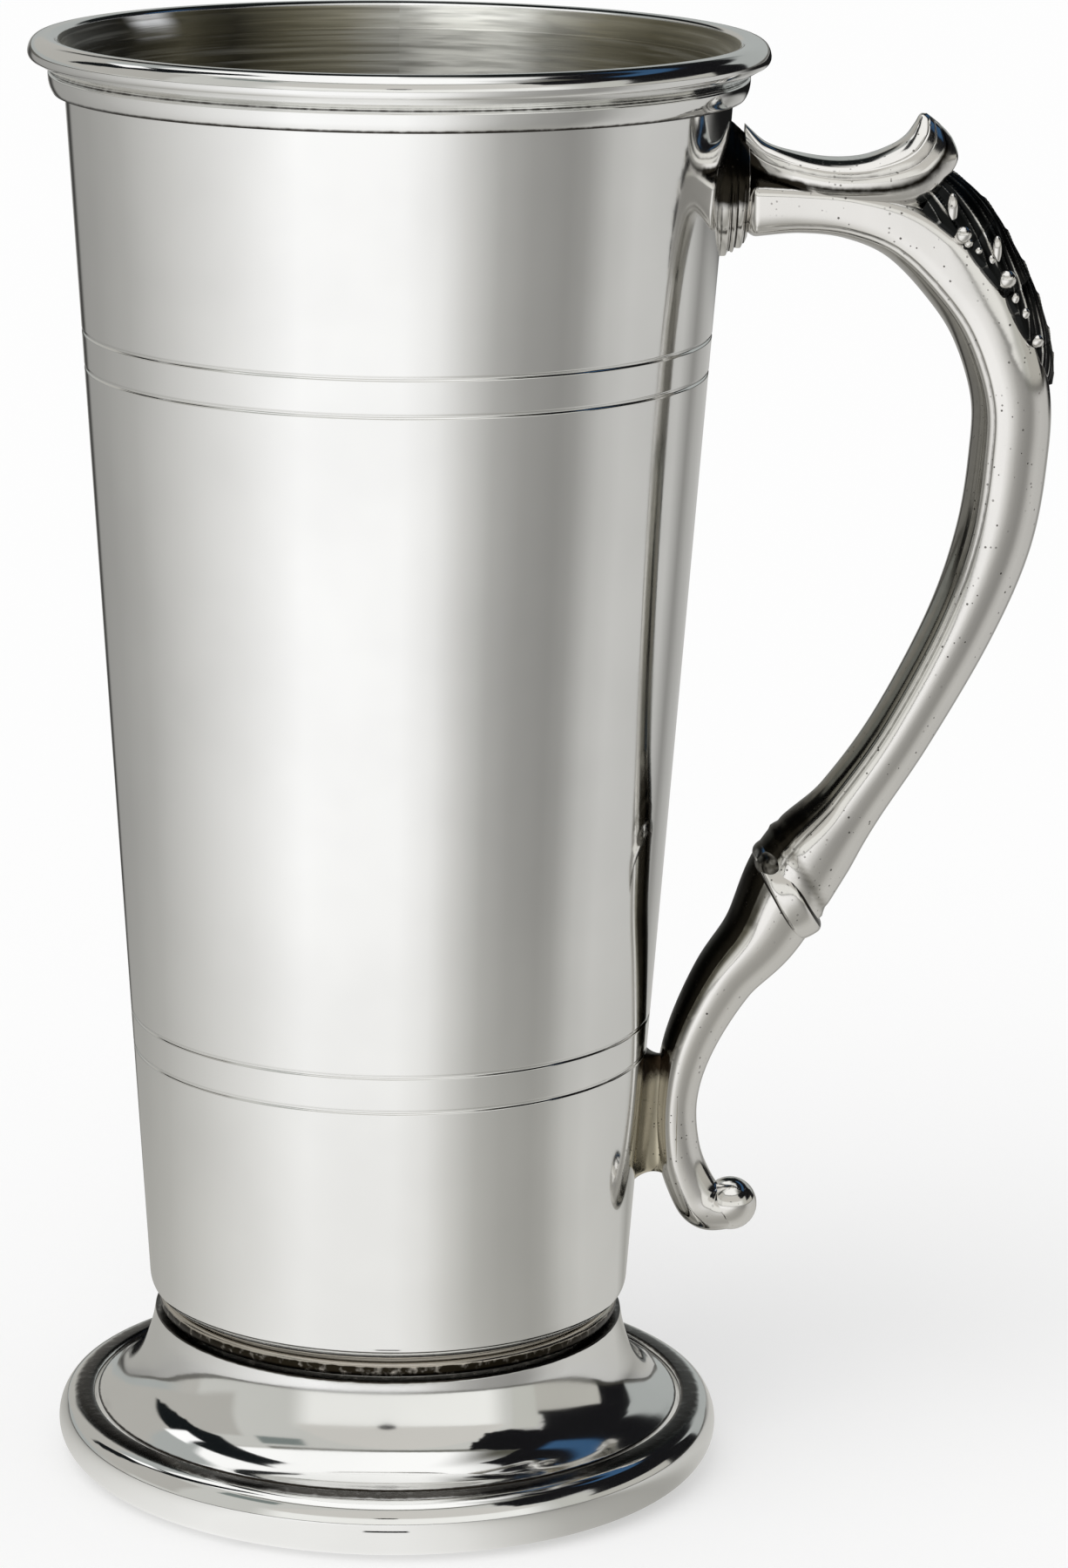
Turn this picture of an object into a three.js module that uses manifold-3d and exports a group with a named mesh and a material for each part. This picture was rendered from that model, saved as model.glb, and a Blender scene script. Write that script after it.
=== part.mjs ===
// Tall one-pint pewter tankard with a cast scroll handle.
// Millimetres, +Z up. The tankard stands on the plane z = 0 with its handle towards +X.
import * as THREE from 'three';
import Module from 'manifold-3d';
import { mergeVertices } from 'three/addons/utils/BufferGeometryUtils.js';

const wasm = await Module();
wasm.setup();

// Every soldered seam is left open by this much.
const seam = 0.3;

// Foot: a spun skirt with a heavier rounded ring round its edge.
const footRingRadius = 41.1;
const footRingWidth = 4.6;
const footRingHeight = 7.75;
const skirtTopRadius = 29;
const skirtTopHeight = 18.6;
const skirtEdgeHeight = 7.6;
const skirtThickness = 1.2;
const skirtFlangeWidth = 3.6;

// Neck ring: the ring of solder in the throat between the foot and the barrel.
const neckRingRadius = 28.5;
const neckRingWidth = 2.2;
const neckRingHeight = 1.9;

// Barrel: a spun cone with a floor.
const barrelHeight = 152.3;
const barrelBaseRadius = 29.53;
const barrelMouthRadius = 39.82;
const barrelWall = 1.3;
const floorThickness = 1.7;
const barrelEdgeRadius = 2.4;

// Engraved lines: two pairs round the barrel, their heights above its underside.
const upperPairHeight = 118.4;
const lowerPairHeight = 34.3;
const pairSpacing = 4.4;
const lineWidth = 0.6;
const lineDepth = 0.25;

// Rim: the moulding that wraps the top of the barrel's wall and laps down over it.
const rimHeight = 6.7;
const rimLap = 3.6;
const rimOverhang = 4.07;

// Handle: its arm is this far below the barrel's top, its hook this far above the barrel's
// underside, and its reach is from the barrel's side.
const armDrop = 16.4;
const hookRise = 10.3;
const handleReach = 37;
const gripDepth = 9.5;
const gripWidth = 10.6;

// Boss: the stepped, pointed plate between the barrel and the arm.
const bossHeight = 16.2;
const bossWidth = 13;
const bossLength = 2.9;
const bossRise = 1.7;

// Knuckle: the slanted collar round the lower part of the scroll.
const knuckleDepth = 13.6;
const knuckleWidth = 12;
const knuckleLength = 3.2;
const knuckleTilt = THREE.MathUtils.degToRad(33);
const hookBallRadius = 3;

// Lug: the flange that joins the tail of the scroll to the barrel.
const lugHeight = 15.8;
const lugWidth = 6.4;
const lugDrop = 2.2;

// Thumb rest and leaf: castings that ride on the arm.
const thumbRestLength = 25.5;
const thumbRestHeight = 9.7;
const thumbRestWidth = 12.4;
const leafHeight = 4.4;
const leafWidth = 10.8;
const leafBeadRadius = 1.15;

// Facets: how finely the round forms are divided.
const turnSteps = 56;
const curveSteps = 3;
const bodySteps = 12;
const faceSteps = 4;
const scrollSteps = 46;
const ornamentSteps = 20;
const ballSteps = 14;
const mergeShare = 1e-6;

// Heights and radii that follow from the sizes above.
const neckRingBase = skirtTopHeight + seam;
const barrelBase = neckRingBase + neckRingHeight + seam;
const barrelTop = barrelBase + barrelHeight;
const barrelFloor = barrelBase + floorThickness;
const rimBase = barrelTop - rimLap;
const skirtEdgeRadius = footRingRadius - footRingWidth - seam;
const coneTaper = (barrelMouthRadius - barrelBaseRadius) / barrelHeight;
const armAxisHeight = barrelTop - armDrop;
const handleDrop = armAxisHeight - barrelBase - hookRise;

function barrelRadiusAt(height) {
  return barrelBaseRadius + (height - barrelBase) * coneTaper;
}

// A closed outline of radius and height, turned about the tankard's axis.
function turned(path) {
  const geometry = new THREE.LatheGeometry(path.getPoints(curveSteps), turnSteps);
  geometry.rotateX(Math.PI / 2);
  return geometry;
}

// A skin over a row of equal rings of points, closed by a fan at each end.
function lofted(rings) {
  const count = rings[0].length;
  const points = rings.flat();
  const indices = [];
  for (let row = 0; row + 1 < rings.length; row += 1) {
    for (let i = 0; i < count; i += 1) {
      const a = row * count + i;
      const b = row * count + (i + 1) % count;
      indices.push(a, b, b + count, a, b + count, a + count);
    }
  }
  for (const row of [0, rings.length - 1]) {
    const middle = new THREE.Vector3();
    for (const point of rings[row]) {
      middle.addScaledVector(point, 1 / count);
    }
    const centre = points.push(middle) - 1;
    for (let i = 0; i < count; i += 1) {
      const here = row * count + i;
      const next = row * count + (i + 1) % count;
      indices.push(centre, row === 0 ? next : here, row === 0 ? here : next);
    }
  }
  const geometry = new THREE.BufferGeometry().setFromPoints(points);
  geometry.setIndex(indices);
  return geometry;
}

// A geometry becomes a solid for cutting and joining, and a solid becomes a geometry again.
function toSolid(geometry) {
  const bare = geometry.clone();
  bare.deleteAttribute('normal');
  bare.deleteAttribute('uv');
  const merged = mergeVertices(bare, gripWidth * mergeShare);
  return new wasm.Manifold(new wasm.Mesh({
    numProp: 3,
    vertProperties: new Float32Array(merged.attributes.position.array),
    triVerts: new Uint32Array(merged.index.array),
  }));
}

function toGeometry(solid) {
  const mesh = solid.getMesh();
  const geometry = new THREE.BufferGeometry();
  geometry.setAttribute('position', new THREE.BufferAttribute(mesh.vertProperties, 3));
  geometry.setIndex(new THREE.BufferAttribute(mesh.triVerts, 1));
  geometry.computeVertexNormals();
  return geometry;
}

// A cut can shave off slivers, and the largest piece is the one that stays.
function largestPiece(solid) {
  const pieces = solid.decompose();
  pieces.sort((a, b) => b.volume() - a.volume());
  return pieces[0];
}

// Barrel: outside up the cone with its engraved lines, then inside down to the floor.
function barrelShape() {
  const innerMouth = barrelMouthRadius - barrelWall;
  const innerBase = barrelRadiusAt(barrelFloor) - barrelWall;
  const edgeTop = barrelBase + barrelEdgeRadius;
  const path = new THREE.Path();
  path.moveTo(0, barrelBase);
  path.lineTo(barrelBaseRadius - barrelEdgeRadius, barrelBase);
  path.quadraticCurveTo(barrelBaseRadius, barrelBase, barrelRadiusAt(edgeTop), edgeTop);
  for (const pairHeight of [lowerPairHeight, upperPairHeight]) {
    for (const side of [-1, 1]) {
      const line = barrelBase + pairHeight + side * pairSpacing / 2;
      path.lineTo(barrelRadiusAt(line - lineWidth / 2), line - lineWidth / 2);
      path.lineTo(barrelRadiusAt(line) - lineDepth, line);
      path.lineTo(barrelRadiusAt(line + lineWidth / 2), line + lineWidth / 2);
    }
  }
  path.lineTo(barrelMouthRadius, barrelTop);
  path.lineTo(innerMouth, barrelTop);
  path.lineTo(innerBase, barrelFloor + barrelEdgeRadius);
  path.quadraticCurveTo(innerBase, barrelFloor, innerBase - barrelEdgeRadius, barrelFloor);
  path.lineTo(0, barrelFloor);
  return turned(path);
}

// Rim: a plain band, a scored line, a hollow underside and a rolled lip.
// Each share pair is of the overhang beyond the barrel and of the rim's height.
const bandFootShares = [0.27, 0];
const bandBulgeShares = [0.43, 0.142];
const scoreLowShares = [0.423, 0.345];
const scoreShares = [0.35, 0.38];
const scoreHighShares = [0.393, 0.416];
const hollowShares = [0.54, 0.49];
const lipLowShares = [0.92, 0.61];
const lipSideShares = [1.035, 0.67];
const lipShoulderShares = [0.995, 0.776];
const lipOuterCrestShares = [0.92, 1];
const lipCrestShares = [0.52, 1];
const lipInnerCrestShares = [0.12, 1];
const lipInnerShares = [0.044, 0.85];

function rimShape() {
  const at = ([rShare, zShare]) => [
    barrelMouthRadius + rShare * rimOverhang,
    rimBase + zShare * rimHeight,
  ];
  const path = new THREE.Path();
  path.moveTo(barrelRadiusAt(rimBase) + seam, rimBase);
  path.lineTo(...at(bandFootShares));
  path.quadraticCurveTo(...at(bandBulgeShares), ...at(scoreLowShares));
  path.lineTo(...at(scoreShares));
  path.lineTo(...at(scoreHighShares));
  path.quadraticCurveTo(...at(hollowShares), ...at(lipLowShares));
  path.quadraticCurveTo(...at(lipSideShares), ...at(lipShoulderShares));
  path.quadraticCurveTo(...at(lipOuterCrestShares), ...at(lipCrestShares));
  path.quadraticCurveTo(...at(lipInnerCrestShares), ...at(lipInnerShares));
  path.lineTo(barrelMouthRadius - barrelWall, barrelTop + seam);
  path.lineTo(barrelMouthRadius + seam, barrelTop + seam);
  path.closePath();
  return turned(path);
}

// Neck ring: a narrow rounded ring between the foot's flange and the barrel's underside.
function neckRingShape() {
  const inner = neckRingRadius - neckRingWidth;
  const shoulder = neckRingRadius - neckRingHeight / 2;
  const top = neckRingBase + neckRingHeight;
  const middle = neckRingBase + neckRingHeight / 2;
  const path = new THREE.Path();
  path.moveTo(inner, neckRingBase);
  path.lineTo(shoulder, neckRingBase);
  path.quadraticCurveTo(neckRingRadius, neckRingBase, neckRingRadius, middle);
  path.quadraticCurveTo(neckRingRadius, top, shoulder, top);
  path.lineTo(inner, top);
  path.closePath();
  return turned(path);
}

// Skirt: a thin trumpet of even thickness, turned in at its top as a flange.
// The shares run from the top to the edge, of the flare's run and of its fall.
const flareShares = [
  [0, 0],
  [0.055, 0.19],
  [0.15, 0.4],
  [0.26, 0.58],
  [0.4, 0.73],
  [0.57, 0.85],
  [0.78, 0.94],
  [1, 1],
];

function skirtShape() {
  const run = skirtEdgeRadius - skirtTopRadius;
  const fall = skirtTopHeight - skirtEdgeHeight;
  const outer = flareShares.map(([runShare, fallShare]) => new THREE.Vector2(
    skirtTopRadius + runShare * run,
    skirtTopHeight - fallShare * fall,
  ));
  const inner = outer.map((point, i) => {
    const before = outer[Math.max(i - 1, 0)];
    const after = outer[Math.min(i + 1, outer.length - 1)];
    const along = after.clone().sub(before).normalize();
    return new THREE.Vector2(
      point.x + along.y * skirtThickness,
      point.y - along.x * skirtThickness,
    );
  });
  inner[0].y = skirtTopHeight - skirtThickness;
  const path = new THREE.Path();
  const flangeRadius = skirtTopRadius - skirtFlangeWidth;
  path.moveTo(flangeRadius, skirtTopHeight - skirtThickness);
  for (const point of [...inner, ...outer.reverse()]) {
    path.lineTo(point.x, point.y);
  }
  path.lineTo(flangeRadius, skirtTopHeight);
  path.closePath();
  return turned(path);
}

// Foot ring: flat underneath, upright inside, rounded outside and over the top.
// The shares are of the ring's width, measured in from its outer edge.
const crownShare = 0.57;
const restingFlatShare = 0.56;
const lowRoundShare = 0.3;

function footRingShape() {
  const inner = footRingRadius - footRingWidth;
  const crown = footRingRadius - footRingWidth * crownShare;
  const lowRound = footRingRadius - footRingWidth * lowRoundShare;
  const middle = footRingHeight / 2;
  const path = new THREE.Path();
  path.moveTo(inner, 0);
  path.lineTo(footRingRadius - footRingWidth * restingFlatShare, 0);
  path.bezierCurveTo(lowRound, 0, footRingRadius, middle / 2, footRingRadius, middle);
  path.quadraticCurveTo(footRingRadius, footRingHeight, crown, footRingHeight);
  path.quadraticCurveTo(inner, footRingHeight, inner, skirtEdgeHeight - skirtThickness);
  path.closePath();
  return turned(path);
}

// Scroll: a D-shaped bar swept along the handle's spine, rounded outside and flat inside.
// Each row holds shares of the reach, the drop, the grip's depth and the grip's width.
const scrollShares = [
  [0.092, 0, 0.84, 0.98],
  [0.251, 0, 0.73, 0.94],
  [0.42, 0.005, 0.75, 0.94],
  [0.593, 0.022, 0.86, 0.96],
  [0.754, 0.06, 0.95, 0.98],
  [0.89, 0.11, 0.99, 1],
  [0.984, 0.178, 1, 1],
  [1, 0.243, 1, 1],
  [0.979, 0.322, 0.98, 1],
  [0.896, 0.408, 0.89, 0.96],
  [0.742, 0.51, 0.83, 0.91],
  [0.598, 0.583, 0.88, 0.92],
  [0.483, 0.635, 1.1, 1.03],
  [0.352, 0.712, 1.05, 0.96],
  [0.234, 0.762, 0.88, 0.85],
  [0.144, 0.826, 0.68, 0.72],
  [0.115, 0.884, 0.56, 0.66],
  [0.139, 0.939, 0.57, 0.64],
  [0.2, 0.98, 0.62, 0.62],
  [0.252, 0.996, 0.66, 0.62],
  [0.331, 0.9965, 0.5, 0.5],
];
const scrollRows = scrollShares.length - 1;
const knuckleRow = 12.5;
const bodyCentreShare = -0.08;
const arrisShare = -0.39;
const arrisAngle = THREE.MathUtils.degToRad(128);

const bossFace = barrelRadiusAt(armAxisHeight) + bossLength;

const spine = new THREE.CatmullRomCurve3(scrollShares.map(([xShare, zShare], row) => {
  const z = armAxisHeight - zShare * handleDrop;
  const x = row === 0 ? bossFace + seam : barrelRadiusAt(z) + xShare * handleReach;
  return new THREE.Vector3(x, 0, z);
}));

const spineSizes = new THREE.CatmullRomCurve3(scrollShares.map((row) => (
  new THREE.Vector3(row[2] * gripDepth, row[3] * gripWidth, 0)
)));

// Where the spine is at a row of the table, which way is outwards, and how thick the bar is.
function spineFrame(row) {
  const share = row / scrollRows;
  const along = spine.getTangent(share);
  const sizes = spineSizes.getPoint(share);
  return {
    centre: spine.getPoint(share),
    along,
    outwards: new THREE.Vector3(-along.z, 0, along.x),
    depth: sizes.x,
    width: sizes.y,
  };
}

// A point beside the spine, by its distance outwards and its distance across.
function offSpine(frame, outwards, across) {
  return frame.centre.clone()
    .addScaledVector(frame.outwards, outwards)
    .add(new THREE.Vector3(0, across, 0));
}

// The D-shaped section as pairs of shares of the depth and the width.
function scrollSection() {
  const inwardShare = (arrisShare - bodyCentreShare) / Math.cos(arrisAngle);
  const arrisY = Math.sin(arrisAngle) / 2;
  const pairs = [];
  for (let i = 0; i <= bodySteps; i += 1) {
    const angle = arrisAngle * (1 - 2 * i / bodySteps);
    const reach = Math.cos(angle) > 0 ? 1 / 2 - bodyCentreShare : inwardShare;
    pairs.push([bodyCentreShare + reach * Math.cos(angle), Math.sin(angle) / 2]);
  }
  for (let i = 1; i < faceSteps; i += 1) {
    const y = arrisY * (2 * i / faceSteps - 1);
    const crown = (1 / 2 + arrisShare) * (1 - (y / arrisY) ** 2);
    pairs.push([arrisShare - crown, y]);
  }
  return pairs;
}

// The bar by itself; a clearance makes the larger copy that cuts what sits on it.
function scrollBar(clearance) {
  const section = scrollSection();
  const rings = [];
  for (let i = 0; i <= scrollSteps; i += 1) {
    const frame = spineFrame(scrollRows * i / scrollSteps);
    const depth = frame.depth + 2 * clearance;
    const width = frame.width + 2 * clearance;
    rings.push(section.map(([n, y]) => offSpine(frame, n * depth, y * width)));
  }
  return lofted(rings);
}

// Knuckle: a round-edged collar whose plane leans off square to the spine.
const knuckleEdgeShare = 0.1;

function knuckleShape() {
  const frame = spineFrame(knuckleRow);
  const lean = new THREE.Quaternion().setFromAxisAngle(new THREE.Vector3(0, 1, 0), knuckleTilt);
  const axis = frame.along.clone().applyQuaternion(lean);
  const outwards = frame.outwards.clone().applyQuaternion(lean);
  const rings = [];
  const ringCount = curveSteps + 2;
  for (let i = 0; i < ringCount; i += 1) {
    const share = 2 * i / (ringCount - 1) - 1;
    const swell = 1 - knuckleEdgeShare * share ** 4;
    const ring = [];
    for (let k = 0; k < 2 * bodySteps; k += 1) {
      const angle = -Math.PI * k / bodySteps;
      ring.push(frame.centre.clone()
        .addScaledVector(axis, share * knuckleLength / 2)
        .addScaledVector(outwards, Math.cos(angle) * swell * knuckleDepth / 2)
        .add(new THREE.Vector3(0, Math.sin(angle) * swell * knuckleWidth / 2, 0)));
    }
    rings.push(ring);
  }
  return lofted(rings);
}

function ball(radius, centre) {
  const geometry = new THREE.SphereGeometry(radius, ballSteps, ballSteps / 2);
  geometry.translate(centre.x, centre.y, centre.z);
  return geometry;
}

// Boss: pointed plates stacked from the barrel to the arm, with a hollow between them.
// Each row holds shares of the length, the size and the rise above the arm's axis.
const bossShares = [
  [0.25, 1, 1],
  [0.34, 0.9, 0.96],
  [0.47, 0.93, 0.95],
  [0.56, 0.87, 0.92],
  [0.78, 0.88, 0.88],
  [1, 0.72, 0.85],
];

function bossShape(clearance) {
  const barrelSide = barrelRadiusAt(armAxisHeight);
  const low = barrelRadiusAt(armAxisHeight + bossRise - bossHeight / 2);
  const root = Math.sqrt(low ** 2 - (bossWidth / 2) ** 2) - seam;
  const rows = [[(root - barrelSide) / bossLength, 1, 1], ...bossShares];
  const rings = rows.map(([xShare, sizeShare, riseShare]) => {
    const ring = [];
    for (let i = 0; i < 2 * bodySteps; i += 1) {
      const angle = Math.PI * i / bodySteps;
      const up = Math.cos(angle);
      const side = Math.sign(Math.sin(angle)) * (1 - up ** 2);
      const halfHeight = sizeShare * bossHeight / 2 + clearance;
      const halfWidth = sizeShare * bossWidth / 2 + clearance;
      ring.push(new THREE.Vector3(
        barrelSide + xShare * bossLength,
        -side * halfWidth,
        armAxisHeight + riseShare * bossRise + up * halfHeight,
      ));
    }
    return ring;
  });
  return lofted(rings);
}

// Lug: a tall flange, waisted between the barrel and the tail.
// Its middle lies a little below the tail's nearest point to the barrel.
// Each row holds shares of the way across, the height and the width.
const lugShares = [[0, 1.04, 1], [0.3, 1, 0.84], [0.55, 0.97, 0.74], [0.75, 1, 0.8], [1, 1.05, 1]];
const lugEndRow = 16;

const soften = (value) => Math.sign(value) * Math.sqrt(Math.abs(value));

function lugShape() {
  const tail = spineFrame(lugEndRow).centre;
  const middle = tail.z - lugDrop;
  const low = barrelRadiusAt(middle - lugHeight);
  const start = Math.sqrt(low ** 2 - (lugWidth / 2) ** 2) - seam;
  const rings = lugShares.map(([wayShare, heightShare, widthShare]) => {
    const ring = [];
    for (let i = 0; i < 2 * bodySteps; i += 1) {
      const angle = Math.PI * i / bodySteps;
      ring.push(new THREE.Vector3(
        start + wayShare * (tail.x - start),
        -soften(Math.sin(angle)) * widthShare * lugWidth / 2,
        middle + soften(Math.cos(angle)) * heightShare * lugHeight / 2,
      ));
    }
    return ring;
  });
  return lofted(rings);
}

// Thumb rest: a saddle draped over the arm, curled up at its end, with a raised border.
// Each row holds the crown's and the underside's places as shares of the rest's length
// and height, and a share of its width.
const restShares = [
  [0, 0.853, 0.02, 0.557, 0.26],
  [0.104, 0.623, 0.104, 0.273, 0.56],
  [0.244, 0.505, 0.238, 0.087, 0.84],
  [0.404, 0.44, 0.404, 0.033, 0.97],
  [0.554, 0.465, 0.59, 0.022, 1],
  [0.683, 0.59, 0.771, 0.033, 0.95],
  [0.751, 0.717, 0.906, 0.164, 0.82],
  [0.792, 0.874, 0.989, 0.437, 0.6],
  [0.815, 0.983, 0.968, 0.69, 0.34],
  [0.844, 0.995, 0.911, 0.86, 0.14],
];
const restSeatShare = 0.126;
const borderShare = 0.4;
const borderGrooveShare = 0.86;
const borderRidgeShare = 0.95;
const borderLiftShare = 0.08;
const borderFootShare = 0.1;
const undersideWidthShare = 0.8;
const restStartShare = 0.8;

function restShape(clearance) {
  const start = barrelRadiusAt(armAxisHeight) + restStartShare * bossLength;
  const base = armAxisHeight + restSeatShare * gripDepth;
  const crownLine = new THREE.CatmullRomCurve3(restShares.map((row) => new THREE.Vector3(
    start + row[0] * thumbRestLength, 0, base + row[1] * thumbRestHeight)));
  const underLine = new THREE.CatmullRomCurve3(restShares.map((row) => new THREE.Vector3(
    start + row[2] * thumbRestLength, 0, base + row[3] * thumbRestHeight)));
  const widths = new THREE.CatmullRomCurve3(restShares.map((row) => new THREE.Vector3(
    row[4] * thumbRestWidth, 0, 0)));
  const rings = [];
  for (let i = 0; i <= ornamentSteps; i += 1) {
    const share = i / ornamentSteps;
    const crown = crownLine.getPoint(share);
    const under = underLine.getPoint(share);
    const halfWidth = widths.getPoint(share).x / 2 + clearance;
    const up = crown.clone().sub(under);
    const thickness = up.length() + clearance;
    up.normalize();
    const at = (yShare, heightShare) => under.clone()
      .addScaledVector(up, heightShare * thickness)
      .add(new THREE.Vector3(0, yShare * halfWidth, 0));
    const arch = (yShare) => borderShare + (1 - borderShare) * (1 - yShare ** 2);
    const ridge = arch(borderRidgeShare) + borderLiftShare;
    const ring = [at(1, borderFootShare), at(1, borderShare), at(borderRidgeShare, ridge)];
    for (let k = 0; k <= bodySteps / 2; k += 1) {
      const yShare = borderGrooveShare * (1 - 4 * k / bodySteps);
      ring.push(at(yShare, arch(yShare)));
    }
    ring.push(at(-borderRidgeShare, ridge), at(-1, borderShare), at(-1, borderFootShare));
    ring.push(at(-undersideWidthShare, 0), at(undersideWidthShare, 0));
    rings.push(ring);
  }
  return lofted(rings);
}

// Leaf: a lobed leaf on the back of the arm, thick under the rest and thin at its tip.
// Each row holds a place along the scroll's rows, a share of its height and of its width.
const leafShares = [
  [3, 1, 0.84],
  [3.4, 0.98, 0.94],
  [3.9, 0.84, 1],
  [4.3, 0.66, 0.98],
  [4.7, 0.52, 0.93],
  [5.05, 0.42, 0.84],
  [5.4, 0.34, 0.7],
  [5.65, 0.28, 0.53],
  [5.85, 0.22, 0.34],
  [6, 0.14, 0.14],
];
const leafLobes = 4;
const lobeShare = 0.07;
const leafRootShare = 0.2;
const leafFootShare = 0.12;
const leafFootWidthShare = 0.6;
const leafArchPower = 2.2;

// Beads: three down each edge of the leaf.
// Each row holds a place along the scroll's rows and a share of the bead's radius.
const beadShares = [[3.5, 1], [4.45, 0.95], [5.25, 0.75]];
const beadAcrossShare = 0.86;
const beadOutShare = 0.3;

function leafShape() {
  const line = new THREE.CatmullRomCurve3(leafShares.map((row) => new THREE.Vector3(
    row[0], row[1] * leafHeight, row[2] * leafWidth / 2)));
  const rings = [];
  for (let i = 0; i <= ornamentSteps; i += 1) {
    const share = i / ornamentSteps;
    const place = line.getPoint(share);
    const frame = spineFrame(place.x);
    const root = frame.depth * leafRootShare;
    const foot = frame.depth * leafFootShare;
    const crown = frame.depth / 2 + place.y;
    const halfWidth = place.z * (1 + lobeShare * Math.cos(2 * Math.PI * leafLobes * share));
    const ring = [];
    for (let k = 0; k <= bodySteps; k += 1) {
      const yShare = 1 - 2 * k / bodySteps;
      const n = root + (crown - root) * (1 - Math.abs(yShare) ** leafArchPower);
      ring.push(offSpine(frame, n, yShare * halfWidth));
    }
    ring.push(offSpine(frame, foot, -leafFootWidthShare * halfWidth));
    ring.push(offSpine(frame, foot, leafFootWidthShare * halfWidth));
    rings.push(ring);
  }
  return lofted(rings);
}

function beadShapes() {
  const beads = [];
  for (const [row, radiusShare] of beadShares) {
    for (const side of [-1, 1]) {
      const frame = spineFrame(row);
      const centre = offSpine(
        frame,
        frame.depth * beadOutShare,
        side * beadAcrossShare * frame.width / 2,
      );
      beads.push(ball(radiusShare * leafBeadRadius, centre));
    }
  }
  return beads;
}

// The barrel and the cast pieces as solids that cut their neighbours, each grown by the seam.
function barrelCutter() {
  const geometry = new THREE.CylinderGeometry(
    barrelRadiusAt(barrelTop) + seam,
    barrelRadiusAt(barrelBase) + seam,
    barrelHeight,
    turnSteps * 2,
  );
  geometry.rotateX(Math.PI / 2);
  geometry.translate(0, 0, barrelBase + barrelHeight / 2);
  return toSolid(geometry);
}

const barrelCut = barrelCutter();
const scrollCut = toSolid(scrollBar(seam));
const restCut = toSolid(restShape(seam));
const bossCut = toSolid(bossShape(seam));

function makeBoss() {
  return toGeometry(largestPiece(toSolid(bossShape(0)).subtract(barrelCut)));
}

function makeScroll() {
  const hookBall = ball(hookBallRadius, spineFrame(scrollRows).centre);
  return toGeometry(toSolid(scrollBar(0)).add(toSolid(knuckleShape())).add(toSolid(hookBall)));
}

function makeRest() {
  return toGeometry(largestPiece(toSolid(restShape(0)).subtract(scrollCut).subtract(bossCut)));
}

function makeLeaf() {
  let leaf = toSolid(leafShape());
  for (const bead of beadShapes()) {
    leaf = leaf.add(toSolid(bead));
  }
  return toGeometry(largestPiece(leaf.subtract(scrollCut).subtract(restCut)));
}

function makeLug() {
  return toGeometry(largestPiece(toSolid(lugShape()).subtract(barrelCut).subtract(scrollCut)));
}

// Materials: polished pewter, the duller cast handle, dark recesses and the solder seam.
const polished = { color: 0xcfcfca, metalness: 1, roughness: 0.1 };
const satin = { color: 0xc4c1ba, metalness: 1, roughness: 0.28 };
const oxidised = { color: 0x55524c, metalness: 1, roughness: 0.35 };
const solder = { color: 0x6f685e, metalness: 1, roughness: 0.45 };

const pieces = [
  ['barrel', barrelShape(), polished],
  ['rim_moulding', rimShape(), polished],
  ['neck_ring', neckRingShape(), solder],
  ['foot_skirt', skirtShape(), polished],
  ['foot_ring', footRingShape(), polished],
  ['handle_boss', makeBoss(), satin],
  ['handle_scroll', makeScroll(), satin],
  ['thumb_rest', makeRest(), satin],
  ['acanthus_leaf', makeLeaf(), oxidised],
  ['handle_lug', makeLug(), satin],
];

const tankard = new THREE.Group();
for (const [name, geometry, finish] of pieces) {
  const mesh = new THREE.Mesh(geometry, new THREE.MeshStandardMaterial(finish));
  mesh.name = name;
  tankard.add(mesh);
}

// The origin is under the middle of the whole outline, from the rim to the back of the handle.
const bounds = new THREE.Box3().setFromObject(tankard);
tankard.position.x = -(bounds.min.x + bounds.max.x) / 2;

export default tankard;
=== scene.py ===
"""Looks of a tall pint tankard in polished pewter with a cast scroll handle.

Metres, +Z up, the handle towards +X. Sizes are read from the frame or named below. Every piece is a
surface of two parameters, worked out as whole arrays, and stands where its solid stands.
"""
import math

import bpy
import numpy as np
from mathutils import Matrix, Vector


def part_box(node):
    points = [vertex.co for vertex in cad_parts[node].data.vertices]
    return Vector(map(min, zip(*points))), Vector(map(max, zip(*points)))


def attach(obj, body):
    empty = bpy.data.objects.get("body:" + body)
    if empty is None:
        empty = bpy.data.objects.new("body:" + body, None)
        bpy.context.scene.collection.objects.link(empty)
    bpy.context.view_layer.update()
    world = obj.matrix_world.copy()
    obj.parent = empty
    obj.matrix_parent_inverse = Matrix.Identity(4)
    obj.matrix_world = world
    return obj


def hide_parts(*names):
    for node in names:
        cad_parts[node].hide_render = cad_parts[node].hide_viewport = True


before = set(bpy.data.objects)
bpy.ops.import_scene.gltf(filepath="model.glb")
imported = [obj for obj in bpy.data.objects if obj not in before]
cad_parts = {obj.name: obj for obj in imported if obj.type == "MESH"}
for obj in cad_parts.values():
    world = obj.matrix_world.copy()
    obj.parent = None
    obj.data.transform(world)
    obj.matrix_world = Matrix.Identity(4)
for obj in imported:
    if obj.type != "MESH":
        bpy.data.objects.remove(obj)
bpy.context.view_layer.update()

# Places read from the frame.
barrel_low, barrel_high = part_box("barrel")
rim_low, rim_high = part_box("rim_moulding")
neck_low, neck_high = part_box("neck_ring")
skirt_low, skirt_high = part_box("foot_skirt")
ring_low, ring_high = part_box("foot_ring")
AXIS_X = (barrel_low.x + barrel_high.x) / 2
MOUTH_RADIUS = (barrel_high.y - barrel_low.y) / 2
RIM_RADIUS = (rim_high.y - rim_low.y) / 2
NECK_RADIUS = (neck_high.y - neck_low.y) / 2
SKIRT_RADIUS = (skirt_high.y - skirt_low.y) / 2
RING_RADIUS = (ring_high.y - ring_low.y) / 2

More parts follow.
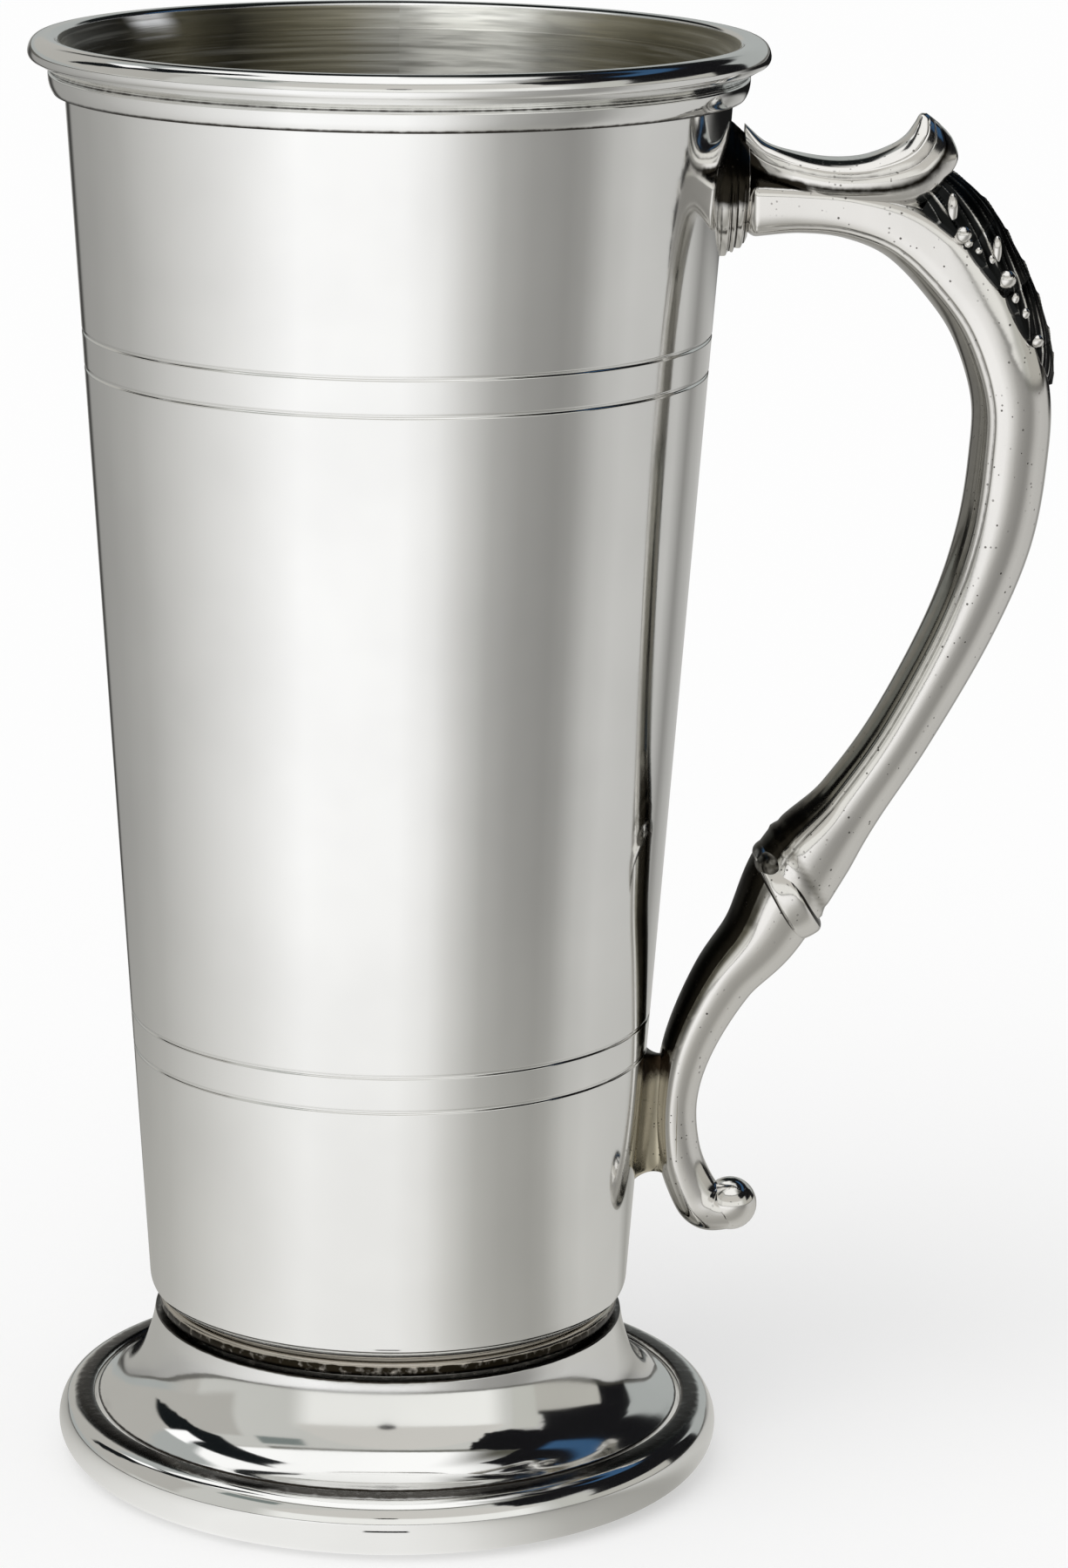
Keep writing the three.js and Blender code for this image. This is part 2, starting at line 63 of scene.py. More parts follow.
# Barrel.
BASE_RADIUS = 0.02953
WALL = 0.0013
FLOOR_THICKNESS = 0.0017
EDGE_RADIUS = 0.0024
TAPER = (MOUTH_RADIUS - BASE_RADIUS) / (barrel_high.z - barrel_low.z)
LINE_HEIGHTS = (0.0532, 0.0576, 0.1373, 0.1417)
LINE_WIDTH = 0.00055
LINE_DEPTH = 0.0002

# Oxide: how dark a scored line is, and how far the dark reaches from a line and from a seam.
LINE_DARKNESS = 0.75
LINE_REACH = 0.00022
SEAM_REACH = 0.0003

# Foot.
RING_WIDTH = 0.0046
RING_BULGE = 0.0043
SKIRT_THICKNESS = 0.0012
SKIRT_TOP_RADIUS = 0.029
FLANGE_WIDTH = 0.0036
NECK_WIDTH = 0.0022

# Handle.
ARM_HEIGHT = barrel_high.z - 0.0164
HANDLE_DROP = ARM_HEIGHT - barrel_low.z - 0.0103
HANDLE_REACH = 0.037
GRIP_DEPTH = 0.0095
GRIP_WIDTH = 0.0106
BOSS_HEIGHT = 0.0162
BOSS_WIDTH = 0.013
BOSS_LENGTH = 0.0029
BOSS_RISE = 0.0017
KNUCKLE_DEPTH = 0.0126
KNUCKLE_WIDTH = 0.0118
KNUCKLE_LENGTH = 0.003
KNUCKLE_TILT = math.radians(33)
KNOB_RADIUS = 0.0023
KNOB_STRETCH = 2.15
HOOK_BALL_RADIUS = 0.0033
HOOK_BALL_RISE = 0.0006
LUG_HEIGHT = 0.0158
LUG_WIDTH = 0.0064
LUG_DROP = 0.0022
REST_LENGTH = 0.0255
REST_HEIGHT = 0.0097
REST_WIDTH = 0.0124
LEAF_HEIGHT = 0.0044
LEAF_WIDTH = 0.0108
BEAD_RADIUS = 0.00115

# Mesh fineness.
TURN_STEPS = 320
HOLD = 0.00012


def barrel_radius(height):
    """The outside of the cone: a straight line from the base radius to the mouth radius."""
    return BASE_RADIUS + (height - barrel_low.z) * TAPER


def barrel_side(across, height):
    """The x of the barrel's outside on the handle's side, at a place across and a height."""
    return AXIS_X + np.sqrt(barrel_radius(height) ** 2 - across ** 2)


# Meshes


def skin(name, points, loop, notes):
    """A closed mesh over a grid of points: neighbours in a row join, and each row joins the next.

    Each row is a ring. With loop the last row joins the first, and otherwise each end is a fan of
    triangles to the middle of its row. Notes are arrays over the grid that become attributes.
    """
    rows, columns = points.shape[:2]
    grid = np.arange(rows * columns).reshape(rows, columns)
    if loop:
        grid = np.vstack([grid, grid[:1]])
    grid = np.hstack([grid, grid[:, :1]])
    corners = (grid[:-1, :-1], grid[:-1, 1:], grid[1:, 1:], grid[1:, :-1])
    quads = np.stack(corners, axis=-1).reshape(-1, 4)
    places = points.reshape(-1, 3)
    fans = np.empty((0, 3), int)
    notes = {key: value.reshape(-1) for key, value in notes.items()}
    if not loop:
        places = np.vstack([places, points[0].mean(0), points[-1].mean(0)])
        ends = [(grid[0], rows * columns, 1), (grid[-1], rows * columns + 1, -1)]
        fans = np.vstack([
            np.stack([np.full(columns, tip), row[1:], row[:-1]], axis=-1)[:, ::turn]
            for row, tip, turn in ends
        ])
        notes = {key: np.append(value, [value[0], value[-1]]) for key, value in notes.items()}
    triangles = np.vstack([quads[:, :3], quads[:, [0, 2, 3]], fans])
    a, b, c = (places[triangles[:, k]] for k in range(3))
    if np.einsum("ij,ij->", a, np.cross(b, c)) < 0:
        quads, fans = quads[:, ::-1], fans[:, ::-1]
    mesh = bpy.data.meshes.new(name)
    mesh.from_pydata(places.tolist(), [], quads.tolist() + fans.tolist())
    mesh.shade_smooth()
    for key, value in notes.items():
        attribute = mesh.attributes.new(key, "FLOAT", "POINT")
        attribute.data.foreach_set("value", value.astype(np.float32))
    piece = bpy.data.objects.new(name, mesh)
    bpy.context.scene.collection.objects.link(piece)
    return piece


def hump(values, place, reach):
    """A bell that is 1 at a place and fades over a reach: e to the minus ((v - place) / reach)^2."""
    return np.exp(-(((values - place) / reach) ** 2))


def nearness(points, others, reach):
    """How near each point is to a set of others: e to the minus least distance over a reach."""
    flat = points.reshape(-1, 3)
    least = np.concatenate([
        np.sqrt(((part[:, None] - others[None]) ** 2).sum(-1)).min(1)
        for part in np.array_split(flat, max(1, len(flat) // 2000))
    ])
    return np.exp(-least / reach).reshape(points.shape[:2])


def line(a, b, steps=2):
    """A straight stretch from a to b, with a row held close to each end to keep its edge."""
    a, b = np.array(a, float), np.array(b, float)
    hold = min(HOLD / np.linalg.norm(b - a), 0.25)
    shares = np.concatenate([[0], np.linspace(hold, 1 - hold, steps), [1]])
    return a + shares[:, None] * (b - a)


def bend(a, b, c, steps=10):
    """A curve from a to c drawn towards b: (1-t)^2 a + 2t(1-t) b + t^2 c."""
    t = np.linspace(0, 1, steps)[:, None]
    a, b, c = (np.array(point, float) for point in (a, b, c))
    return (1 - t) ** 2 * a + 2 * t * (1 - t) * b + t ** 2 * c


def outline(*stretches):
    """The stretches end to end, each shared point kept once."""
    whole = np.concatenate(stretches)
    step = np.linalg.norm(np.diff(whole, axis=0), axis=1)
    return whole[np.append(True, step > HOLD / 100)]


def turned(name, profile, loop, notes):
    """A profile of radius and height turned about the barrel's axis: x = r cos a, y = r sin a.

    With loop the profile comes back to its first point, and that last point is left out.
    """
    rows = len(profile) - 1 if loop else len(profile)
    profile = profile[:rows]
    angles = np.linspace(0, 2 * np.pi, TURN_STEPS, endpoint=False)
    radius = profile[:, 0, None]
    points = np.stack([
        AXIS_X + radius * np.cos(angles),
        radius * np.sin(angles),
        np.repeat(profile[:, 1, None], TURN_STEPS, axis=1),
    ], axis=-1)
    notes = {key: np.repeat(value[:rows, None], TURN_STEPS, 1) for key, value in notes.items()}
    return skin(name, points, loop, notes)


def dark_near(profile, places, reach):
    """A note along a profile that is 1 at the given places and fades over the reach."""
    gaps = np.linalg.norm(profile[:, None] - np.array(places)[None], axis=-1).min(1)
    return hump(gaps, 0, reach)


def through(table, places):
    """A smooth curve through the rows of a table, read at places counted in rows.

    Each stretch is the cubic whose slope at a row is half the step between that row's neighbours.
    """
    table = np.asarray(table, float)
    padded = np.vstack([2 * table[0] - table[1], table, 2 * table[-1] - table[-2]])
    i = np.clip(np.floor(places).astype(int), 0, len(table) - 2)
    t = (places - i)[:, None]
    a, b, c, d = (padded[i + k] for k in range(4))
    return b + 0.5 * t * (c - a + t * (2 * a - 5 * b + 4 * c - d + t * (3 * (b - c) + d - a)))


def read(pairs, places):
    """A column of values at places, by straight lines between pairs of a place and a value."""
    return np.interp(places, *np.transpose(pairs))[:, None]


# Barrel, rim and foot


def make_barrel():
    """The spun cone: its outside with the engraved lines, its mouth, its inside and its floor."""
    base, top = barrel_low.z, barrel_high.z
    low = base + EDGE_RADIUS
    floor = base + FLOOR_THICKNESS
    inner_mouth = MOUTH_RADIUS - WALL
    inner_base = barrel_radius(floor) - WALL

    def on_cone(height, sunk=0):
        return barrel_radius(height) - sunk, height

    outside = [
        line((EDGE_RADIUS, base), (BASE_RADIUS - EDGE_RADIUS, base)),
        bend((BASE_RADIUS - EDGE_RADIUS, base), (BASE_RADIUS, base), on_cone(low), 14),
    ]
    reached = low
    for height in LINE_HEIGHTS:
        below, above = height - LINE_WIDTH / 2, height + LINE_WIDTH / 2
        outside.append(line(on_cone(reached), on_cone(below), 12))
        outside.append(bend(on_cone(below), on_cone(height, 2 * LINE_DEPTH), on_cone(above), 7))
        reached = above
    outside.append(line(on_cone(reached), (MOUTH_RADIUS, top), 12))
    outside = outline(*outside)
    inside = outline(
        line((MOUTH_RADIUS, top), (inner_mouth, top)),
        line((inner_mouth, top), (inner_base, floor + EDGE_RADIUS), 40),
        bend((inner_base, floor + EDGE_RADIUS), (inner_base, floor), (inner_base - EDGE_RADIUS, floor), 14),
        line((inner_base - EDGE_RADIUS, floor), (EDGE_RADIUS, floor), 12),
    )
    profile = outline(outside, inside)
    inside_note = np.arange(len(profile)) >= len(outside)
    seams = [on_cone(height) for height in LINE_HEIGHTS] + [on_cone(rim_low.z)]
    recess = np.maximum(
        LINE_DARKNESS * dark_near(profile, seams, LINE_REACH),
        dark_near(profile, [(BASE_RADIUS, base)], SEAM_REACH),
    )
    return turned("barrel_body", profile, False, {"recess": recess, "inside": inside_note})


# The rim's section, as shares of its overhang past the mouth and of its height.
RIM_SHARES = {
    "band_foot": (0.27, 0),
    "band_bulge": (0.43, 0.142),
    "score_low": (0.423, 0.345),
    "score": (0.35, 0.38),
    "score_high": (0.393, 0.416),
    "hollow": (0.54, 0.49),
    "lip_low": (0.92, 0.61),
    "lip_side": (1.035, 0.67),
    "lip_shoulder": (0.995, 0.776),
    "outer_crest": (0.92, 1),
    "crest": (0.52, 1),
    "inner_crest": (0.12, 1),
    "inner": (0.044, 0.85),
}
# How much of the way from its inside to its crest is brushed.
RIM_BRUSHED_SHARE = 0.2


def make_rim():
    """The rim's section: band, scored line, hollow and rolled lip, wrapped round the barrel's top."""
    overhang = RIM_RADIUS - MOUTH_RADIUS
    height = rim_high.z - rim_low.z
    at = {
        key: (MOUTH_RADIUS + r * overhang, rim_low.z + z * height)
        for key, (r, z) in RIM_SHARES.items()
    }
    gap = LINE_DEPTH / 4
    inner_mouth = MOUTH_RADIUS - WALL
    seat = barrel_high.z + gap
    start = (barrel_radius(rim_low.z) + gap, rim_low.z)
    profile = outline(
        line(start, at["band_foot"]),
        bend(at["band_foot"], at["band_bulge"], at["score_low"], 14),
        line(at["score_low"], at["score"]),
        line(at["score"], at["score_high"]),
        bend(at["score_high"], at["hollow"], at["lip_low"], 18),
        bend(at["lip_low"], at["lip_side"], at["lip_shoulder"], 14),
        bend(at["lip_shoulder"], at["outer_crest"], at["crest"], 14),
        bend(at["crest"], at["inner_crest"], at["inner"], 14),
        bend(at["inner"], (inner_mouth, seat + WALL), (inner_mouth - gap, seat - WALL), 16),
        line((inner_mouth - gap, seat - WALL), (inner_mouth + gap, seat)),
        line((inner_mouth + gap, seat), (MOUTH_RADIUS + gap, seat)),
        line((MOUTH_RADIUS + gap, seat), start, 6),
    )
    recess = np.maximum(
        0.8 * dark_near(profile, [at["score"]], LINE_REACH),
        dark_near(profile, [at["band_foot"]], 0.0005),
    )
    split = at["inner"][0] + RIM_BRUSHED_SHARE * (at["crest"][0] - at["inner"][0])
    inside = (profile[:, 0] < split) & (profile[:, 1] > seat - 2 * WALL)
    return turned("rim", profile, True, {"recess": recess, "inside": inside})


def make_neck_ring():
    """A rounded ring of solder: half circles outside, flat where it meets its neighbours."""
    low, high = neck_low.z, neck_high.z
    half = (high - low) / 2
    inner, shoulder = NECK_RADIUS - NECK_WIDTH, NECK_RADIUS - half
    profile = outline(
        line((inner, low), (shoulder, low)),
        bend((shoulder, low), (NECK_RADIUS, low), (NECK_RADIUS, low + half), 10),
        bend((NECK_RADIUS, low + half), (NECK_RADIUS, high), (shoulder, high), 10),
        line((shoulder, high), (inner, high)),
        line((inner, high), (inner, low)),
    )
    lower = (high - profile[:, 1]) / (high - low)
    return turned("solder_ring", profile, True, {"recess": 0.8 * np.clip(lower * 6 - 0.6, 0, 1)})


# The flare, from the neck down: shares of its spread and of its drop.
FLARE_SHARES = (
    (0, 0), (0.055, 0.19), (0.15, 0.4), (0.26, 0.58), (0.4, 0.73), (0.57, 0.85), (0.78, 0.94), (1, 1),
)


def make_skirt():
    """The trumpet: a curve through the flare's shares, and the same curve one thickness inside it."""
    top, edge = skirt_high.z, ring_high.z - LINE_DEPTH
    shares = through(FLARE_SHARES, np.linspace(0, len(FLARE_SHARES) - 1, 60))
    outer = np.stack([
        SKIRT_TOP_RADIUS + shares[:, 0] * (SKIRT_RADIUS - SKIRT_TOP_RADIUS),
        top + shares[:, 1] * (edge - top),
    ], axis=-1)
    along = np.gradient(outer, axis=0)
    along /= np.linalg.norm(along, axis=1)[:, None]
    inner = outer + SKIRT_THICKNESS * np.stack([along[:, 1], -along[:, 0]], axis=-1)
    inner = inner[inner[:, 1] < top - SKIRT_THICKNESS]
    flange = SKIRT_TOP_RADIUS - FLANGE_WIDTH
    under = (flange, top - SKIRT_THICKNESS)
    profile = outline(
        line((flange, top), outer[0]),
        outer,
        line(outer[-1], inner[-1]),
        inner[::-1],
        line(inner[0], under),
        line(under, (flange, top)),
    )
    recess = np.maximum(
        dark_near(profile, [outer[0]], 0.00025),
        dark_near(profile, [outer[-1]], SEAM_REACH),
    )
    return turned("foot_flare", profile, True, {"recess": recess})


def make_ring():
    """The foot ring's section: flat underneath, upright inside, a part circle outside, a slope on top.

    The part circle ends 40 degrees up, and the slope leaves it along its tangent.
    """
    inner = RING_RADIUS - RING_WIDTH
    height = ring_high.z
    turn = np.radians(np.linspace(-90, 40, 36))
    centre = RING_RADIUS - RING_BULGE
    bulge = np.stack([centre + RING_BULGE * np.cos(turn), RING_BULGE * (1 + np.sin(turn))], axis=-1)
    corner = (bulge[-1, 0] - (height - bulge[-1, 1]) * math.tan(turn[-1]), height)
    crown = (RING_RADIUS - RING_WIDTH * 0.85, height)
    profile = outline(
        line((inner, 0), bulge[0]),
        bulge,
        bend(bulge[-1], corner, crown, 30),
        bend(crown, (inner, height), (inner, height - SKIRT_THICKNESS), 10),
        line((inner, height - SKIRT_THICKNESS), (inner, 0), 4),
    )
    # Painted shade on the top of the ring, under the flare's edge where the two meet.
    recess = 0.8 * np.clip((profile[:, 1] - height) / 0.00025 + 1.3, 0, 1)
    return turned("base_ring", profile, True, {"recess": recess})


# Handle. Rows hold shares of the reach, the drop, the grip's depth and the grip's width.
SCROLL_SHARES = (
    (0.092, 0, 0.84, 0.98),
    (0.251, 0, 0.73, 0.94),
    (0.42, 0.005, 0.75, 0.94),
    (0.593, 0.022, 0.86, 0.96),
    (0.754, 0.06, 0.95, 0.98),
    (0.89, 0.11, 0.99, 1),
    (0.984, 0.178, 1, 1),
    (1, 0.243, 1, 1),
    (0.979, 0.322, 0.98, 1),
    (0.896, 0.408, 0.89, 0.96),
    (0.742, 0.51, 0.83, 0.91),
    (0.598, 0.583, 0.88, 0.92),
    (0.483, 0.635, 1.1, 1.03),
    (0.357, 0.712, 1.0, 0.94),
    (0.236, 0.762, 0.83, 0.85),
    (0.144, 0.826, 0.68, 0.72),
    (0.115, 0.884, 0.56, 0.66),
    (0.139, 0.939, 0.57, 0.64),
    (0.2, 0.98, 0.62, 0.62),
    (0.252, 0.996, 0.66, 0.62),
    (0.331, 0.9993, 0.55, 0.55),
)
LAST_ROW = len(SCROLL_SHARES) - 1
KNUCKLE_ROW = 12.5
LUG_ROW = 16
BODY_CENTRE_SHARE = -0.08
ARRIS_ANGLE = math.radians(128)

# Where the flat inner face ends, as pairs of a row and a share of the depth.
ARRIS_SHARES = (
    (0, -0.41), (3, -0.37), (8, -0.33), (11, -0.31), (12.4, -0.28), (14, -0.27), (16, -0.3), (20, -0.38),
)

# Painted shade on the flat face and the bevel beside it, as pairs of a row and a note.
FACE_PAINTED_SHADE = (
    (0, 0.45), (3, 0.5), (6, 0.62), (9.5, 0.72), (12.2, 0.9), (12.6, 1),
    (15, 1), (15.5, 0.6), (16.2, 0.45), (17.3, 0.5), (18.2, 0.8), (19.5, 0.6),
)
BEVEL_PAINTED_SHADE = (
    (0, 0), (6, 0.2), (11, 0.3), (12.4, 0.5), (12.8, 0.9), (14.8, 0.85),
    (15.5, 0.3), (16.4, 0.1), (17.5, 0.15), (18.4, 0.6), (19.4, 0.4), (20, 0),
)

# The channel between bevel and body: its angle in degrees, its half width and its depth as a share.
CHANNEL_ANGLE = 116
CHANNEL_REACH = 2
CHANNEL_DEPTH = 0.035

# The lip and the hollow above the knuckle: how far above it, how wide, and the lip's height as a share.
LIP_PLACE = 0.0007
HOLLOW_PLACE = 0.0016
LIP_REACH = 0.0004
LIP_SHARE = 0.035

_shares = np.array(SCROLL_SHARES)
_heights = ARM_HEIGHT - _shares[:, 1] * HANDLE_DROP
SPINE = np.stack([
    AXIS_X + barrel_radius(_heights) + _shares[:, 0] * HANDLE_REACH,
    np.zeros(len(_shares)),
    _heights,
], axis=-1)
SPINE[0, 0] = AXIS_X + barrel_radius(ARM_HEIGHT) + BOSS_LENGTH
SPINE_SIZES = _shares[:, 2:] * (GRIP_DEPTH, GRIP_WIDTH)


class Spine:
    """The handle's spine at some places, counted in rows: centre, direction, outwards and sizes."""

    def __init__(self, places):
        nudge = 0.01
        places = np.atleast_1d(np.asarray(places, float))
        ahead = through(SPINE, np.minimum(places + nudge, LAST_ROW))
        behind = through(SPINE, np.maximum(places - nudge, 0))
        self.centre = through(SPINE, places)
        self.along = (ahead - behind) / np.linalg.norm(ahead - behind, axis=1)[:, None]
        self.outwards = np.stack([-self.along[:, 2], 0 * self.along[:, 0], self.along[:, 0]], axis=-1)
        self.depth, self.width = through(SPINE_SIZES, places).T

    def beside(self, out, across):
        """Points at arrays of distances outwards and across, one row for each place."""
        points = self.centre[:, None] + self.outwards[:, None] * out[..., None]
        points[..., 1] += across
        return points


def knuckle_frame():
    """The collar's centre, axis and outward direction, leaned off square to the spine."""
    spine = Spine(KNUCKLE_ROW)
    cos, sin = math.cos(KNUCKLE_TILT), math.sin(KNUCKLE_TILT)
    lean = np.array([[cos, 0, sin], [0, 1, 0], [-sin, 0, cos]])
    return spine.centre[0], lean @ spine.along[0], lean @ spine.outwards[0]


def scroll_section(places):
    """The D-shaped section as shares of depth and width: an ellipse cut by a crowned inner face.

    A fine channel parts the bevel along each edge from the body, and a fine line runs inside the
    face. Both end at the collar. Under the thumb rest the outer half fills out to a squarer shape.
    Beside the section come its two notes: a dark cover, which is oxidised patina in the fine lines and
    painted shade turned dark where the face is darkest, and shade, which is painted shade.
    """
    arris = read(ARRIS_SHARES, places)
    angles = np.linspace(ARRIS_ANGLE, -ARRIS_ANGLE, 96)
    inward = (arris - BODY_CENTRE_SHARE) / math.cos(ARRIS_ANGLE)
    reach = np.where(np.cos(angles) > 0, 0.5 - BODY_CENTRE_SHARE, inward)
    above = read(((0, 0), (0.6, 1), (12.2, 1), (12.5, 0)), places)
    turn = np.degrees(np.abs(angles))
    channel = hump(turn, CHANNEL_ANGLE, CHANNEL_REACH) * above
    body_out = BODY_CENTRE_SHARE + reach * np.cos(angles) * (1 - CHANNEL_DEPTH * channel)
    under_rest = read(((3.6, 1), (5.4, 0)), places)
    fullness = 1 + 0.6 * under_rest * np.clip(np.cos(angles), 0, 1) ** 2
    body_across = np.clip(np.sin(angles) * fullness, -1, 1) / 2 * (1 - CHANNEL_DEPTH * channel)
    y = np.linspace(-1, 1, 42)[1:-1]
    off = np.abs(y)
    groove = hump(off, 0.93, 0.03) * above
    face_out = arris - (0.5 + arris) * (1 - y ** 2) + 0.02 * groove
    face_across = y * math.sin(ARRIS_ANGLE) / 2 + 0 * arris
    # Painted shade on the bevel and the flat inner face, which turn towards the barrel.
    bevel = read(BEVEL_PAINTED_SHADE, places) * np.clip((turn - 110) / 9, 0, 1)
    face = read(FACE_PAINTED_SHADE, places) * np.clip((1 - off) / 0.05, 0.2, 1)
    shade = np.hstack([bevel, face])
    # Where the painted shade is deepest, the dark cover turns it black.
    black = np.clip((np.hstack([bevel * 0.8, face]) - 0.78) / 0.12, 0, 1)
    recess = np.maximum(1.3 * black, np.hstack([0.85 * channel, 0.95 * groove]))
    return np.hstack([body_out, face_out]), np.hstack([body_across, face_across]), recess, shade


def make_scroll():
    """The bar: the section carried along the spine, rounded where the arm starts.

    Its inner side swells further in at the knuckle, where a lip and a hollow run round it on the
    arm's side, with painted shade in the hollow. Beside the boss its outer side carries painted shade.
    """
    start = np.linspace(0, 0.25, 9)[:-1]
    places = np.concatenate([start, np.linspace(0.25, LAST_ROW, 420)])
    spine = Spine(places)
    out, across, recess, shade = scroll_section(places)
    shoulder = hump(places, KNUCKLE_ROW - 0.1, 0.6)[:, None]
    out = out - 0.085 * shoulder * np.clip(-3 * out, 0, 1)
    ease = 1 - 0.14 * np.clip(1 - places / 0.16, 0, 1)[:, None] ** 2
    points = spine.beside(out * spine.depth[:, None] * ease, across * spine.width[:, None] * ease)
    # Painted shade on the outer side beside the boss, under the thumb rest.
    boss_side_shade = read(((1.1, 1.3), (1.8, 0)), places) * np.clip((out - 0.28) / 0.06, 0, 1)
    recess = np.maximum(recess, boss_side_shade)
    centre, axis, _ = knuckle_frame()
    above = -((points - centre) @ axis) - KNUCKLE_LENGTH / 2
    lip = hump(above, LIP_PLACE, LIP_REACH) - 0.6 * hump(above, HOLLOW_PLACE, LIP_REACH)
    middle = spine.centre[:, None]
    points = middle + (points - middle) * (1 + LIP_SHARE * lip[..., None])
    # Painted shade in the hollow above the knuckle.
    shade = np.maximum(shade, 0.6 * hump(above, HOLLOW_PLACE, 1.25 * LIP_REACH))
    return skin("scroll_bar", points, False, {"recess": recess, "shade": shade})


def make_collar():
    """The knuckle: an ellipse carried along its leaned axis, its edges rounded by s^2 and s^6.

    A knob swells its inner side, where the flat faces of the bar meet it.
    """
    centre, axis, outwards = knuckle_frame()
    s = np.linspace(-1.16, 1.16, 45)[:, None]
    angles = np.linspace(0, 2 * np.pi, 128, endpoint=False)
    knob = hump(angles, np.pi, 0.7)
    swell = 1 + 0.13 * knob * (1 - 0.5 * s ** 2) - 0.02 * s ** 2 - 0.045 * s ** 6
    points = (
        centre
        + axis * (s * KNUCKLE_LENGTH / 2)[..., None]
        + outwards * (np.cos(angles) * swell * KNUCKLE_DEPTH / 2)[..., None]
    )
    points[..., 1] += np.sin(angles) * swell * KNUCKLE_WIDTH / 2
    # Painted shade over the inner side by the knob, and a dark joint at each edge.
    recess = np.maximum(1.2 * np.clip((np.abs(s) - 0.93) / 0.08, 0, 1), 0.95 * knob ** 2)
    return skin("knuckle_collar", points, False, {"recess": recess})


def make_knob():
    """The rounded end of the collar between the bar's flat faces: a ball drawn out across."""
    centre, _, outwards = knuckle_frame()
    points = ball(centre - outwards * (KNUCKLE_DEPTH / 2 - 0.85 * KNOB_RADIUS), KNOB_RADIUS, 48)
    points[..., 1] *= KNOB_STRETCH
    # Painted shade and a dark cover over the whole knob.
    note = np.full(points.shape[:2], 0.7)
    return skin("knuckle_knob", points, False, {"recess": note, "shade": note})


def ball(centre, radius, steps=40, tall=1):
    """A sphere by longitude and latitude, drawn out upwards by a factor.

    With o for longitude and a for latitude: x = r cos a cos o, y = r cos a sin o, z = tall r sin a.
    """
    latitude = np.linspace(-np.pi / 2, np.pi / 2, steps // 2 + 2)[1:-1, None]
    longitude = np.linspace(0, 2 * np.pi, steps, endpoint=False)
    return np.stack([
        centre[0] + radius * np.cos(latitude) * np.cos(longitude),
        centre[1] + radius * np.cos(latitude) * np.sin(longitude),
        centre[2] + tall * radius * np.sin(latitude) + 0 * longitude,
    ], axis=-1)


def make_hook_ball():
    """The ball that ends the tail."""
    points = ball(SPINE[LAST_ROW] + np.array([0, 0, HOOK_BALL_RISE]), HOOK_BALL_RADIUS)
    # Painted shade where the ball meets the tail.
    recess = nearness(points, Spine(np.linspace(17, 18.2, 12)).centre, 0.002)
    return skin("hook_ball", points, False, {"recess": recess})


# Rows hold the crown's place and the underside's as shares of the rest's length and height, and a
# share of its width.
REST_SHARES = (
    (0, 0.853, 0.0, 0.2, 0.26),
    (0.104, 0.623, 0.104, 0.12, 0.56),
    (0.244, 0.505, 0.238, 0.087, 0.84),
    (0.404, 0.44, 0.404, 0.033, 0.97),
    (0.554, 0.465, 0.59, 0.022, 1),
    (0.683, 0.59, 0.771, 0.033, 0.95),
    (0.751, 0.717, 0.906, 0.164, 0.82),
    (0.792, 0.874, 0.989, 0.437, 0.6),
    (0.815, 0.983, 0.968, 0.69, 0.34),
    (0.844, 0.995, 0.911, 0.86, 0.14),
)


def make_rest():
    """The thumb rest: an arched section with a raised border, carried between two curves.

    Across, the top is an arch 0.34 + 0.66 (1 - |y|^3.2) with two beads near each edge, parted by
    grooves. Below them each side runs down into the arm, or closes under the curled end, with painted
    shade under the border and on the underside.
    """
    start = AXIS_X + barrel_radius(ARM_HEIGHT) + BOSS_LENGTH * 0.8
    base = ARM_HEIGHT + 0.126 * GRIP_DEPTH
    places = np.linspace(0, len(REST_SHARES) - 1, 150)
    table = through(REST_SHARES, places)
    crown, under = (
        np.stack([start + out * REST_LENGTH, 0 * places, base + rise * REST_HEIGHT], axis=-1)
        for out, rise in (table[:, :2].T, table[:, 2:4].T)
    )
    half_width = table[:, 4, None] * REST_WIDTH / 2
    up = crown - under
    y = np.cos(np.linspace(0, np.pi, 120))
    off = np.abs(y)
    beads = hump(off, 0.975, 0.03) + 0.9 * hump(off, 0.85, 0.04)
    groove = np.maximum(hump(off, 0.915, 0.034), hump(off, 0.76, 0.045))
    top = 0.34 + 0.66 * (1 - off ** 3.2) + 0.19 * beads - 0.12 * groove
    sunk = read(((4.2, 1), (6.2, 0)), places)
    free_side, sunk_side = np.array([0.33, 0.2, 0.09, 0.02]), np.array([0.22, 0.11, -0.02, -0.4])
    side = free_side + sunk * (sunk_side - free_side)
    side_across = half_width * (0.985, 0.9, 0.81, 0.7)
    bottom_across = side_across[:, -1:] * np.linspace(-0.75, 0.75, 5)
    across = np.hstack([half_width * y, -side_across, bottom_across, side_across[:, ::-1]])
    bottom = np.repeat(side[:, -1:], 5, axis=1)
    lift = np.hstack([top + 0 * sunk, side, bottom, side[:, ::-1]])
    points = under[:, None] + up[:, None] * lift[..., None]
    points[..., 1] += across
    # Painted shade just under the border and on the underside; the grooves on top hold oxidised patina.
    side_shade = np.maximum(read(((2.1, 1.3), (2.7, 0)), places), [0.95, 0.5, 0.3, 0])
    underside_shade = read(((4, 1), (5.5, 0.3), (6.8, 0.15), (7.3, 1.2)), places) + 0 * bottom
    recess = np.hstack([1.3 * groove + 0 * sunk, side_shade, underside_shade, side_shade[:, ::-1]])
    return skin("thumb_saddle", points, False, {"recess": recess})


